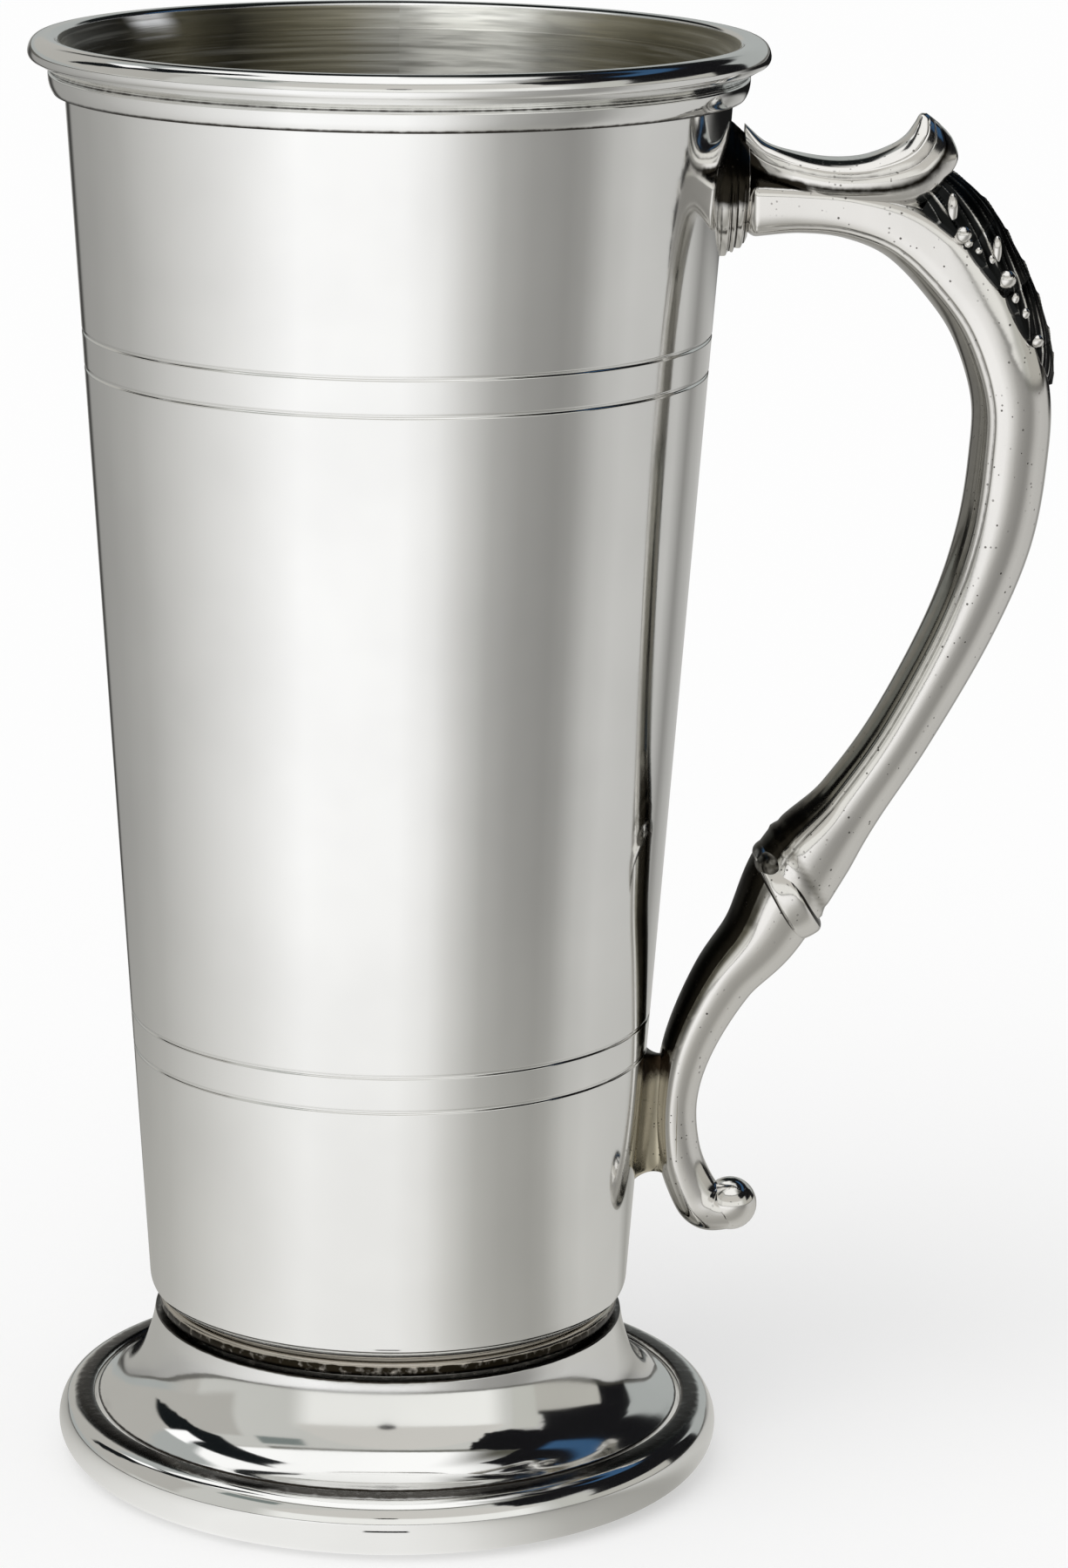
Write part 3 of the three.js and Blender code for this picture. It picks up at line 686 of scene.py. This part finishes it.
# Rows hold a place along the scroll's rows, a share of the leaf's height and a share of its width.
LEAF_SHARES = (
    (3, 1, 0.84),
    (3.4, 0.98, 0.94),
    (3.9, 0.84, 1),
    (4.3, 0.66, 0.98),
    (4.7, 0.52, 0.93),
    (5.05, 0.42, 0.84),
    (5.4, 0.34, 0.7),
    (5.65, 0.28, 0.53),
    (5.85, 0.22, 0.34),
    (6, 0.14, 0.14),
)
LOBES = 4
LOBE_SWEEP = 3.2
LOBE_START = 0.35
VEINS = 2

# Beads: a place along the scroll's rows, then shares of the bead's radius, of the leaf's half width, of
# the depth outwards, and how much taller than wide.
BEAD_SHARES = (
    (3.66, 0.95, 0.92, 0.43, 1),
    (3.8, 0.5, 0.9, 0.4, 1),
    (3.98, 0.42, 0.9, 0.42, 1),
    (4.22, 0.45, 0.88, 0.45, 1.5),
    (4.55, 1, 0.9, 0.46, 1),
    (4.82, 0.42, 0.9, 0.42, 1.5),
    (5.05, 0.5, 0.9, 0.44, 1.2),
    (5.42, 0.7, 0.88, 0.46, 1),
    (3.34, 0.62, 0.82, 0.59, 3),
    (4.16, 0.5, 0.8, 0.6, 3),
)


def make_leaf():
    """The leaf: an arch over the arm's back, carved into lobes that sweep from the crest to the edges.

    With s along and y across, a lobe is a unit of 4 s - 3.2 |y|. Its lower edge is a raised pipe, a
    groove parts it from the next, and fine veins run down it.
    """
    s = np.linspace(0, 1, 360)
    table = through(LEAF_SHARES, s * (len(LEAF_SHARES) - 1))
    spine = Spine(table[:, 0])
    s = s[:, None]
    y = np.linspace(1, -1, 141)
    off = np.abs(y)
    within = np.mod(LOBES * s - LOBE_SWEEP * off + LOBE_START, 1)
    outer = np.clip((off - 0.3) / 0.4, 0, 1)
    pipe = hump(within, 0.8, 0.085) * outer * np.clip((0.97 - off) / 0.1, 0, 1)
    parting = hump(within, 0.97, 0.04) * outer
    vein = (0.5 + 0.5 * np.cos(2 * np.pi * VEINS * (within + 0.35 * off * s))) ** 14 * (1 - pipe)
    midrib = hump(off, 0, 0.05)
    taper = np.clip((1 - s) * 4, 0, 1)
    lift = (0.00035 * pipe - 0.00045 * parting + 0.00018 * vein + 0.0002 * midrib) * taper
    crown = spine.depth / 2 + table[:, 1] * LEAF_HEIGHT - 0.0002
    root = spine.depth * 0.36
    arch = root[:, None] + (crown - root)[:, None] * (1 - off ** 2.2) + lift
    scallop = np.abs(np.sin(np.pi * (LOBES * s - LOBE_SWEEP + LOBE_START))) ** 0.6
    half_width = table[:, 2, None] * LEAF_WIDTH / 2 * (0.86 + 0.2 * scallop)
    out = np.hstack([arch, np.repeat(0.2 * spine.depth[:, None], 2, 1)])
    across = np.hstack([half_width * y, half_width * (-0.6, 0.6)])
    points = spine.beside(out, across)
    # The leaf is near black all over: painted dark reflection and shade, with oxidised patina in its
    # carving. Pipes, veins and midrib stay bare.
    bright = np.clip(1.1 * pipe ** 2 * (off > 0.5) + 0.5 * vein + 0.35 * midrib, 0, 1) * (1 - parting)
    recess = np.hstack([1 - bright, np.ones((len(s), 2))])
    return skin("leaf", points, False, {"recess": recess})


def make_beads():
    """Beads down each edge of the leaf, with the upright buds that stand over two of them."""
    beads = []
    rows, _, widths = np.transpose(LEAF_SHARES)
    for number, (row, share, across, out, tall) in enumerate(BEAD_SHARES, start=1):
        spine = Spine(row)
        half_width = np.interp(row, rows, widths) * LEAF_WIDTH / 2
        for side, word in ((-1, "near"), (1, "far")):
            centre = spine.beside(spine.depth[:, None] * out, side * across * half_width)[0, 0]
            points = ball(centre, share * BEAD_RADIUS, 24, tall)
            recess = 0.8 * nearness(points, spine.centre, 0.0012)
            beads.append(skin(f"leaf_bead_{word}_{number}", points, False, {"recess": recess}))
    return beads


# The boss's rows: how far out from barrel to arm, the size and the rise, as shares.
BOSS_SHARES = (
    (-0.1, 1, 1),
    (0.18, 1, 1),
    (0.25, 0.985, 0.99),
    (0.31, 0.93, 0.97),
    (0.38, 0.92, 0.96),
    (0.44, 0.935, 0.95),
    (0.5, 0.92, 0.94),
    (0.55, 0.86, 0.92),
    (0.62, 0.86, 0.9),
    (0.76, 0.85, 0.88),
    (0.84, 0.79, 0.87),
    (0.9, 0.77, 0.86),
    (1, 0.68, 0.85),
)


def make_boss():
    """The boss: a pointed oval carried from the barrel's curve to the arm's flat end.

    Around the oval z = cos a and y = sin a |sin a|, which draws both ends to points. The steps of the
    table are cut into its sides and its lower half, and its upper half is smooth, with painted shade.
    """
    table = through(BOSS_SHARES, np.linspace(0, len(BOSS_SHARES) - 1, 90))
    angles = np.linspace(0, 2 * np.pi, 120, endpoint=False)
    out, size, rise = (table[:, k, None] for k in range(3))
    size = size + (1 - 0.2 * out - size) * np.clip(3 * np.cos(angles), 0, 1)
    across = np.sin(angles) * np.abs(np.sin(angles)) * size * BOSS_WIDTH / 2
    height = ARM_HEIGHT + rise * BOSS_RISE + np.cos(angles) * size * BOSS_HEIGHT / 2
    flat = AXIS_X + barrel_radius(ARM_HEIGHT)
    share = np.clip(out, 0, 1)
    root = barrel_side(across, height) * (1 - share) + flat * share
    points = np.stack([root + out * BOSS_LENGTH, across, height], axis=-1)
    grooves = sum(hump(out, place, 0.035) for place in (0.35, 0.56, 0.87))
    # Painted shade on the upper half, under the thumb rest; oxidised patina in the grooves and at the
    # barrel.
    upper = np.clip((height - ARM_HEIGHT) / 0.003 + 0.3, 0, 1) * (1 - 0.7 * hump(out, 0.97, 0.03))
    recess = np.maximum(np.clip(grooves + np.exp(-np.abs(out) / 0.06), 0, 1), 1.5 * upper)
    return skin("boss_plate", points, False, {"recess": recess})


# The lug's rows: how far out from barrel to tail, the height and the width, as shares.
LUG_SHARES = (
    (0, 1.08, 1.15), (0.2, 1, 0.72), (0.4, 0.96, 0.5), (0.6, 0.96, 0.48), (0.8, 1, 0.7), (1, 1.08, 1.1),
)


def make_lug():
    """The lug: a round-cornered upright slab, waisted between the barrel's curve and the tail.

    Around it y = w s(sin a) / 2 and z = h s(cos a) / 2, with s(v) the root of |v| in v's sign.
    """
    table = through(LUG_SHARES, np.linspace(0, len(LUG_SHARES) - 1, 50))
    angles = np.linspace(0, 2 * np.pi, 96, endpoint=False)
    round_corners = np.stack([np.sin(angles), np.cos(angles)])
    sideways, upright = np.sign(round_corners) * np.sqrt(np.abs(round_corners))
    tail = Spine(LUG_ROW).centre[0]
    out, tall, wide = (table[:, k, None] for k in range(3))
    across = sideways * wide * LUG_WIDTH / 2
    height = tail[2] - LUG_DROP + upright * tall * LUG_HEIGHT / 2
    start = barrel_side(across, height) - WALL / 4
    points = np.stack([start + out * (tail[0] - start), across, height], axis=-1)
    # Painted shade near the barrel and the tail, and black at the top where the lug meets the tail.
    edges = np.exp(-out * 6) + np.exp(-(1 - out) * 8)
    top = np.clip((height - tail[2] + LUG_DROP) / LUG_HEIGHT * 5 - 1.2, 0, 1)
    recess = np.clip(0.3 + 0.4 * edges + top, 0, 1.4)
    return skin("tail_lug", points, False, {"recess": recess})


# Finishes


class Wire:
    """An output socket. Arithmetic on it adds Math nodes to its tree."""

    def __init__(self, board, socket):
        self.board, self.socket = board, socket

    def math(self, operation, *others):
        inputs = dict(enumerate((self, *others)))
        return self.board.add("ShaderNodeMath", {"operation": operation}, inputs)

    def __add__(self, other):
        return self.math("ADD", other)

    def __mul__(self, other):
        return self.math("MULTIPLY", other)

    def __sub__(self, other):
        return self.math("SUBTRACT", other)

    def __rsub__(self, other):
        return (self * -1) + other

    def __truediv__(self, other):
        return self.math("DIVIDE", other)

    def __or__(self, other):
        """The larger of the two."""
        return self.math("MAXIMUM", other)

    def __pow__(self, other):
        return self.math("POWER", other)

    __radd__, __rmul__ = __add__, __mul__

    def rise(self, low, high):
        """0 below low, 1 above high, smooth between."""
        ends = {"Value": self, "From Min": low, "From Max": high}
        return self.board.add("ShaderNodeMapRange", {"interpolation_type": "SMOOTHSTEP"}, ends)

    def band(self, low, high, soft):
        """1 between low and high, fading over the width soft outside them."""
        return self.rise(low - soft, low) * (1 - self.rise(high, high + soft))


class Board:
    """One node tree. Every node is made by add."""

    def __init__(self, tree):
        self.tree = tree
        tree.nodes.clear()

    def add(self, kind, settings=None, inputs=None, output=0):
        node = self.tree.nodes.new(kind)
        for name, value in (settings or {}).items():
            if name == "stops":
                self.set_stops(node.color_ramp, value)
            else:
                setattr(node, name, value)
        for name, value in (inputs or {}).items():
            if isinstance(value, Wire):
                self.tree.links.new(value.socket, node.inputs[name])
            else:
                node.inputs[name].default_value = value
        return Wire(self, node.outputs[output]) if len(node.outputs) else None

    @staticmethod
    def set_stops(ramp, stops):
        for place, colour in stops[1:-1]:
            ramp.elements.new(place).color = (*colour, 1)
        for end, (place, colour) in ((0, stops[0]), (-1, stops[-1])):
            ramp.elements[end].position = place
            ramp.elements[end].color = (*colour, 1)

    def parts(self, vector):
        """The x, y and z of a vector."""
        x = self.add("ShaderNodeSeparateXYZ", None, {0: vector})
        return [Wire(self, socket) for socket in x.socket.node.outputs]

    def mix(self, factor, first, second):
        """A colour between two others."""
        first, second = (c if isinstance(c, Wire) else (*c, 1) for c in (first, second))
        return self.add("ShaderNodeMix", {"data_type": "RGBA"}, {0: factor, 6: first, 7: second}, 2)

    def note(self, name):
        """A note of the mesh, read as a value."""
        return self.add("ShaderNodeAttribute", {"attribute_name": name}, None, 2)

    def noise(self, place, scale, detail=3.0):
        return self.add("ShaderNodeTexNoise", None, {"Vector": place, "Scale": scale, "Detail": detail})

    def stretched(self, place, factors, turn=(0.0, 0.0, 0.0)):
        return self.add("ShaderNodeMapping", None, {"Vector": place, "Rotation": turn, "Scale": factors})


POLISHED = (0.875, 0.875, 0.865)
CAST = (0.8, 0.785, 0.76)
OXIDE = (0.035, 0.03, 0.024)
# The dark tone of painted shade, laid where a piece's shade note is high.
PAINTED_SHADE = (0.11, 0.1, 0.068)

# Texture scales: the clouded polish, the grain, the pits and the patches that pits gather in.
CLOUD_SCALE = 55.0
GRAIN_SCALE = 900.0
PIT_SCALE = 1500.0
PATCH_SCALE = 160.0

# Painted light and shade on the brushed inside wall, standing for what it reflects, by degrees round
# from the side towards the camera.
INSIDE_PAINTED_LIGHT = (
    (-180, 0.48), (-169, 0.26), (-159, 0.14), (-148, 0.025), (-142, 0.06), (-136, 0.14), (-128, 0.06),
    (-120, 0.012), (-100, 0.02), (-60, 0.3), (-20, 0.6), (20, 0.6), (60, 0.25), (105, 0.1), (128, 0.12),
    (141, 0.24), (152, 0.44), (158, 0.9), (164, 1), (172, 0.85), (180, 0.48),
)


def tone_ring(board, azimuth, tones, full, span, bright, dim):
    """A colour by degrees round, from tones whose tint goes from bright to dim over a span below full."""
    bright, dim = np.array(bright), np.array(dim)
    stops = []
    for degrees, value in tones:
        share = min(1.0, max(0.0, (full - value) / span))
        stops.append((degrees / 360 + 0.5, tuple(value * (bright + share * (dim - bright)))))
    return board.add("ShaderNodeValToRGB", {"stops": stops}, {"Fac": azimuth / 360 + 0.5})


def degrees_round(board, x, y):
    """The azimuth in degrees: 0 towards the camera, positive towards the handle."""
    return x.math("ARCTAN2", y * -1) * (180 / math.pi)


def brushed_wall(board, place):
    """The inside wall: painted light and shade round it, one painted highlight, streaks level but slanted
    at one side.
    """
    x, y, z = board.parts(place)
    around = degrees_round(board, x - AXIS_X, y)
    level = board.noise(board.stretched(place, (35.0, 35.0, 1600.0)), 1.0, 4.0)
    slanted = board.noise(board.stretched(place, (90.0, 30.0, 1500.0), (0.0, 0.35, 0.0)), 1.0, 3.0)
    streak = level + around.band(95, 172, 12) * (slanted - level)
    shifted = around + 14 * (streak - 0.5)
    # Painted light and shade round the wall, tinted warmer where it is darker.
    wall = tone_ring(board, shifted, INSIDE_PAINTED_LIGHT, 0.5, 0.5, (1, 1, 0.94), (1, 0.88, 0.44))
    wall = board.mix(streak.rise(0.42, 0.7) * 0.4, wall, (0.03, 0.027, 0.015))
    wall = board.mix(streak.rise(0.5, 0.3) * 0.12, wall, (0.8, 0.8, 0.74))
    # A painted highlight near the crest at the far left.
    painted_glint = around.band(-131, -128, 6) * z.rise(0.1725, 0.1752) * streak.rise(0.35, 0.6)
    return board.mix(painted_glint, wall, (1.0, 1.0, 1.0)), streak


def metal(name, colour, shine, recess_colour, recess_reach, pits, grain, brushed=False):
    """Pewter: a base colour with clouded polish, fine pits, and what the mesh's notes ask for.

    Shade lays painted shade over it. A second note lays a dark cover over it, which is oxidised patina in
    hollows and, on some pieces, painted shade. With brushed, inside gives it the wall's look.
    """
    material = bpy.data.materials.new(name)
    material.use_nodes = True
    board = Board(material.node_tree)
    place = board.add("ShaderNodeTexCoord", None, None, 3)
    recess, shade = board.note("recess"), board.note("shade")
    cloud = board.noise(place, CLOUD_SCALE)
    fine = board.noise(place, GRAIN_SCALE, 5.0)
    cell = board.add("ShaderNodeTexVoronoi", None, {"Vector": place, "Scale": PIT_SCALE})
    lot = board.parts(Wire(board, cell.socket.node.outputs["Color"]))
    size = lot[0].rise(1 - 0.5 * pits, 1 - 0.1 * pits) * pits * (0.12 + 0.22 * fine)
    pit = (size - cell).rise(0.0, 0.03) * board.noise(place, PATCH_SCALE).rise(0.35, 0.6)
    # The dark cover: oxidised patina in hollows, and painted shade where a piece's note asks for it.
    oxide_and_shade_cover = (recess * (0.65 + 0.7 * fine)).rise(*recess_reach)
    tone = board.mix(cloud.rise(0.3, 0.75) * 0.35, colour, tuple(0.88 * c for c in colour))
    # Painted shade: the tone darkens towards the shade colour where the shade note is high.
    tone = board.mix(shade * (0.9 + 0.2 * fine), tone, PAINTED_SHADE)
    dulled = board.mix(oxide_and_shade_cover, tone, recess_colour)
    spotted = board.mix(pit * 0.85, dulled, OXIDE)
    roughness = shine + 0.05 * cloud.rise(0.35, 0.7) + 0.15 * oxide_and_shade_cover + 0.2 * pit
    height = fine * (0.3 * grain) - pit * 0.8 - oxide_and_shade_cover * fine * 0.8
    metallic = 1.0
    if brushed:
        inside = board.note("inside")
        wall, streak = brushed_wall(board, place)
        spotted = board.mix(inside, spotted, wall)
        metallic = 1 - 0.55 * inside
        roughness = roughness + inside * 0.4
        height = height + inside * (streak * 3.0)
    bump = board.add("ShaderNodeBump", None, {"Height": height, "Strength": 0.35, "Distance": 0.00006})
    shader = board.add("ShaderNodeBsdfPrincipled", None, {
        "Base Color": spotted,
        "Metallic": metallic,
        "Roughness": roughness,
        "Normal": bump,
    })
    board.add("ShaderNodeOutputMaterial", None, {"Surface": shader})
    return material


def dress(piece, nodes, material):
    """Gives a piece its finish and its body, and hides the solids that it stands for."""
    piece.data.materials.append(material)
    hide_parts(*nodes)
    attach(piece, "root")


polished = metal("polished_pewter", POLISHED, 0.055, OXIDE, (0.35, 0.9), 0.05, 0.25, True)
foot_polish = metal("foot_pewter", POLISHED, 0.05, OXIDE, (0.3, 0.8), 0.12, 0.3)
cast = metal("cast_pewter", CAST, 0.1, (0.022, 0.019, 0.014), (0.3, 0.95), 1.0, 0.7)
leafing = metal("leaf_pewter", (0.72, 0.71, 0.68), 0.1, (0.014, 0.015, 0.015), (0.2, 0.75), 0.5, 0.6)
solder = metal("solder", (0.6, 0.56, 0.5), 0.14, (0.02, 0.016, 0.01), (0.6, 0.8), 0.8, 2.0)
# The lug's metal: a darker, browner pewter than the cast handle.
lug_metal = metal("brown_lug_pewter", (0.6, 0.55, 0.43), 0.14, (0.035, 0.024, 0.015), (0.4, 1.1), 0.8, 0.8)

dress(make_barrel(), ["barrel"], polished)
dress(make_rim(), ["rim_moulding"], polished)
dress(make_neck_ring(), ["neck_ring"], solder)
dress(make_skirt(), ["foot_skirt"], foot_polish)
dress(make_ring(), ["foot_ring"], foot_polish)
dress(make_boss(), ["handle_boss"], cast)
for piece in (make_scroll(), make_collar(), make_knob(), make_hook_ball()):
    dress(piece, ["handle_scroll"], cast)
dress(make_rest(), ["thumb_rest"], cast)
dress(make_leaf(), ["acanthus_leaf"], leafing)
for bead in make_beads():
    dress(bead, ["acanthus_leaf"], cast)
dress(make_lug(), ["handle_lug"], lug_metal)


# Studio

# Brightness round the tankard, by degrees clockwise from the camera as seen from above.
ROUND_ABOUT = (
    (-180, 0.5), (-169, 0.45), (-164, 0.06), (-159, 0.06), (-154, 0.32), (-134, 0.36), (-111, 0.45),
    (-85, 0.65), (-58, 0.88), (-42, 1.04), (-34, 1.11), (-20, 1.09), (2, 1.07), (14, 0.93), (24, 0.68),
    (35, 0.45), (46, 0.35), (60, 0.3), (67, 0.34), (78, 0.54), (90, 0.62), (125, 0.56), (137, 0.28),
    (146, 0.42), (162, 0.52), (180, 0.5),
)
BLACK = (0.005, 0.005, 0.005)


def round_about(board, azimuth):
    """The brightness all round as a colour, a little warmer where it is darker."""
    return tone_ring(board, azimuth, ROUND_ABOUT, 1.1, 1.0, (1, 1, 1), (1, 0.985, 0.93))


def seen(board):
    """1 for rays from the camera, and 1 for rays off metal or through glass."""
    rays = [board.add("ShaderNodeLightPath", None, None, name) for name in (
        "Is Camera Ray", "Is Glossy Ray", "Is Transmission Ray")]
    return rays[0], rays[1] | rays[2]


def make_world():
    """A white surround for the camera, and for metal a tent with panels, gaps and a bright roof.

    Places in the tent are degrees round, as in the table above, and degrees up.
    """
    world = bpy.data.worlds.new("studio")
    bpy.context.scene.world = world
    world.use_nodes = True
    board = Board(world.node_tree)
    direction = board.add("ShaderNodeTexCoord")
    x, y, z = board.parts(direction)
    azimuth = degrees_round(board, x, y)
    height = z.math("ARCSINE") * (180 / math.pi)
    off_front = azimuth.math("ABSOLUTE")
    wobble = board.noise(direction, 3.5, 4.0) - 0.5
    ragged_azimuth, ragged_height = azimuth + wobble * 26, height + wobble * 16
    disc = (((azimuth - 7) / 50) ** 2 + ((height - 14) / 31) ** 2).rise(1.06, 0.96)
    right_fade = azimuth.band(66, 160, 35) * (1 - height.rise(52, 78))
    dark_right = (
        ragged_azimuth.band(76, 134, 1.5) * ragged_height.band(12, 66, 1.5)
        | ragged_azimuth.band(46, 80, 1.5) * ragged_height.band(28, 47, 1.5)
        | azimuth.band(111, 134, 1.5) * height.band(0, 14, 1)
        | azimuth.band(130, 168, 3) * height.band(26, 60, 3)
    )
    slope = (ragged_height - azimuth * 0.72).rise(103, 105)
    dark_left = azimuth.band(-124, -92, 3) * slope * (1 - ragged_height.rise(66, 69))
    lens = ((azimuth / 4.2) ** 2 + ((height - 20.5) / 1.6) ** 2).rise(1.1, 0.9)

    # Layers, each over those before it: where it is, and its colour.
    layers = (
        # Walls at the left and behind, the wall in front with its brighter lower part, and two patches.
        (azimuth.band(-175, -50, 6) * height.rise(-2, 2), (0.5, 0.49, 0.46)),
        (off_front.rise(105, 125) * height.rise(0, 3), (0.42, 0.44, 0.43)),
        (azimuth.band(-95, 60, 5) * height.band(0, 47, 2), (0.6, 0.6, 0.57)),
        (azimuth.band(-34, 46, 14) * height.band(0, 17, 9), (0.93, 0.93, 0.9)),
        (azimuth.band(62, 74, 3) * height.band(0, 25, 3), (0.56, 0.56, 0.52)),
        (azimuth.band(-66, -44, 3) * height.band(37, 43, 2), (0.2, 0.23, 0.22)),
        # The round panel in front, and a duller one at the left.
        (disc * height.rise(19, 21), (0.64, 0.625, 0.59)),
        (azimuth.band(-175, -78, 5) * height.band(8, 36, 3), (0.47, 0.46, 0.43)),
        # The bright roof, duller at the right, and the thin line under it.
        (height.rise(48, 51), (1.1, 1.1, 1.09)),
        (right_fade * height.rise(44, 50), (0.09, 0.088, 0.07)),
        (azimuth.band(-64, 64, 4) * height.band(47, 49, 1), (0.2, 0.2, 0.18)),
        # The dark gap at the right, with a blue patch and a pale one in it.
        (dark_right, (0.008, 0.008, 0.009)),
        (azimuth.band(96, 152, 8) * height.band(43, 48, 3), (0.04, 0.1, 0.2)),
        (azimuth.band(74, 112, 2) * height.band(1, 12, 1), (0.5, 0.49, 0.45)),
        # The dark gap at the left, with a bright patch in it, and the one straight behind.
        (dark_left, (0.008, 0.01, 0.011)),
        (azimuth.band(-130, -114, 3) * height.band(38, 45, 2), (1.15, 1.15, 1.15)),
        (off_front.rise(158, 168) * height.band(22, 52, 3), (0.008, 0.01, 0.01)),
        # The far edge of the floor, and the dark spot straight ahead.
        (height.band(-0.5, 1.2, 0.8) * 0.8, (0.05, 0.048, 0.04)),
        (lens, BLACK),
    )
    tent = round_about(board, azimuth)
    for mask, tone in layers:
        tent = board.mix(mask, tent, tone)
    camera, metal_ray = seen(board)
    colour = board.mix(metal_ray, (0.72, 0.72, 0.72), tent)
    colour = board.mix(camera, colour, (1.0, 1.0, 1.0))
    background = board.add("ShaderNodeBackground", None, {"Color": colour})
    board.add("ShaderNodeOutputWorld", None, {"Surface": background})


FLOOR_SIZE = 14.0
FLOOR_TONE = 0.62
SPOT_RADII = (0.0507, 0.0532)


def make_floor():
    """A wide flat sheet: white with the tankard's shadow, and lit unevenly where metal sees it.

    There it is duller near the foot and dark far off at one side, with a small dark spot in front.
    """
    half = FLOOR_SIZE / 2
    mesh = bpy.data.meshes.new("floor")
    corners = [(-half, -half, 0), (half, -half, 0), (half, half, 0), (-half, half, 0)]
    mesh.from_pydata(corners, [], [(0, 1, 2, 3)])
    floor = bpy.data.objects.new("floor", mesh)
    bpy.context.scene.collection.objects.link(floor)
    material = bpy.data.materials.new("pale_floor")
    material.use_nodes = True
    board = Board(material.node_tree)
    x, y, _ = board.parts(board.add("ShaderNodeTexCoord", None, None, 3))
    azimuth = degrees_round(board, x - AXIS_X, y)
    away = ((x - AXIS_X) ** 2 + y * y).math("SQRT")
    around = board.mix((1 - away.rise(0.06, 0.3)) * 0.3, round_about(board, azimuth), (0.58, 0.57, 0.52))
    far_edge = away.rise(0.8, 1.1) * azimuth.rise(120, 140)
    around = board.mix(far_edge, around, (0.01, 0.01, 0.01))
    spot = away.band(*SPOT_RADII, 0.0008) * azimuth.band(-4, 4, 1)
    around = board.mix(spot, around, BLACK)
    camera, metal_ray = seen(board)
    glow = board.add("ShaderNodeEmission", None, {"Color": around})
    diffuse = board.add("ShaderNodeBsdfDiffuse", None, {"Color": (FLOOR_TONE,) * 3 + (1,)})
    lift = board.add("ShaderNodeEmission", None, {
        "Color": board.mix(camera, (0.0, 0.0, 0.0), (1.0, 1.0, 1.0)),
        "Strength": 1 - FLOOR_TONE,
    })
    lit = board.add("ShaderNodeAddShader", None, {0: diffuse, 1: lift})
    surface = board.add("ShaderNodeMixShader", None, {0: metal_ray, 1: lit, 2: glow})
    board.add("ShaderNodeOutputMaterial", None, {"Surface": surface})
    mesh.materials.append(material)


def make_sun():
    """One broad soft lamp from the upper left, which metal doesn't see."""
    light = bpy.data.lights.new("soft_key", "SUN")
    light.energy = 1.0
    light.angle = math.radians(50)
    lamp = bpy.data.objects.new("soft_key", light)
    lamp.rotation_euler = (math.radians(28), math.radians(-24), 0)
    lamp.visible_glossy = False
    bpy.context.scene.collection.objects.link(lamp)


# The camera that the photograph was taken with, found from the tankard's outline.
FOCAL_PIXELS = 6200
FRAME_PIXELS = (1226, 1800)
OPTICAL_X_PIXELS = 444.77
CAMERA_DISTANCE = 0.6408
CAMERA_HEIGHT = 0.2428
CAMERA_PITCH = 0.2409
CAMERA_ROLL = 0.0089
CAMERA_OFFSET = 0.00064
SENSOR = 36.0


def make_camera():
    """The camera: moved back and up, then pitched down and rolled a little."""
    data = bpy.data.cameras.new("camera")
    data.sensor_width = SENSOR
    data.lens = SENSOR * FOCAL_PIXELS / FRAME_PIXELS[1]
    data.shift_x = (FRAME_PIXELS[0] / 2 - OPTICAL_X_PIXELS) / FRAME_PIXELS[1]
    data.clip_start = 0.01
    camera = bpy.data.objects.new("camera", data)
    place = Matrix.Translation((AXIS_X - CAMERA_OFFSET, -CAMERA_DISTANCE, CAMERA_HEIGHT))
    pitch = Matrix.Rotation(math.pi / 2 - CAMERA_PITCH, 4, "X")
    camera.matrix_world = place @ pitch @ Matrix.Rotation(CAMERA_ROLL, 4, "Z")
    bpy.context.scene.collection.objects.link(camera)
    bpy.context.scene.camera = camera


make_world()
make_floor()
make_sun()
make_camera()
bpy.context.scene.view_settings.view_transform = "Standard"
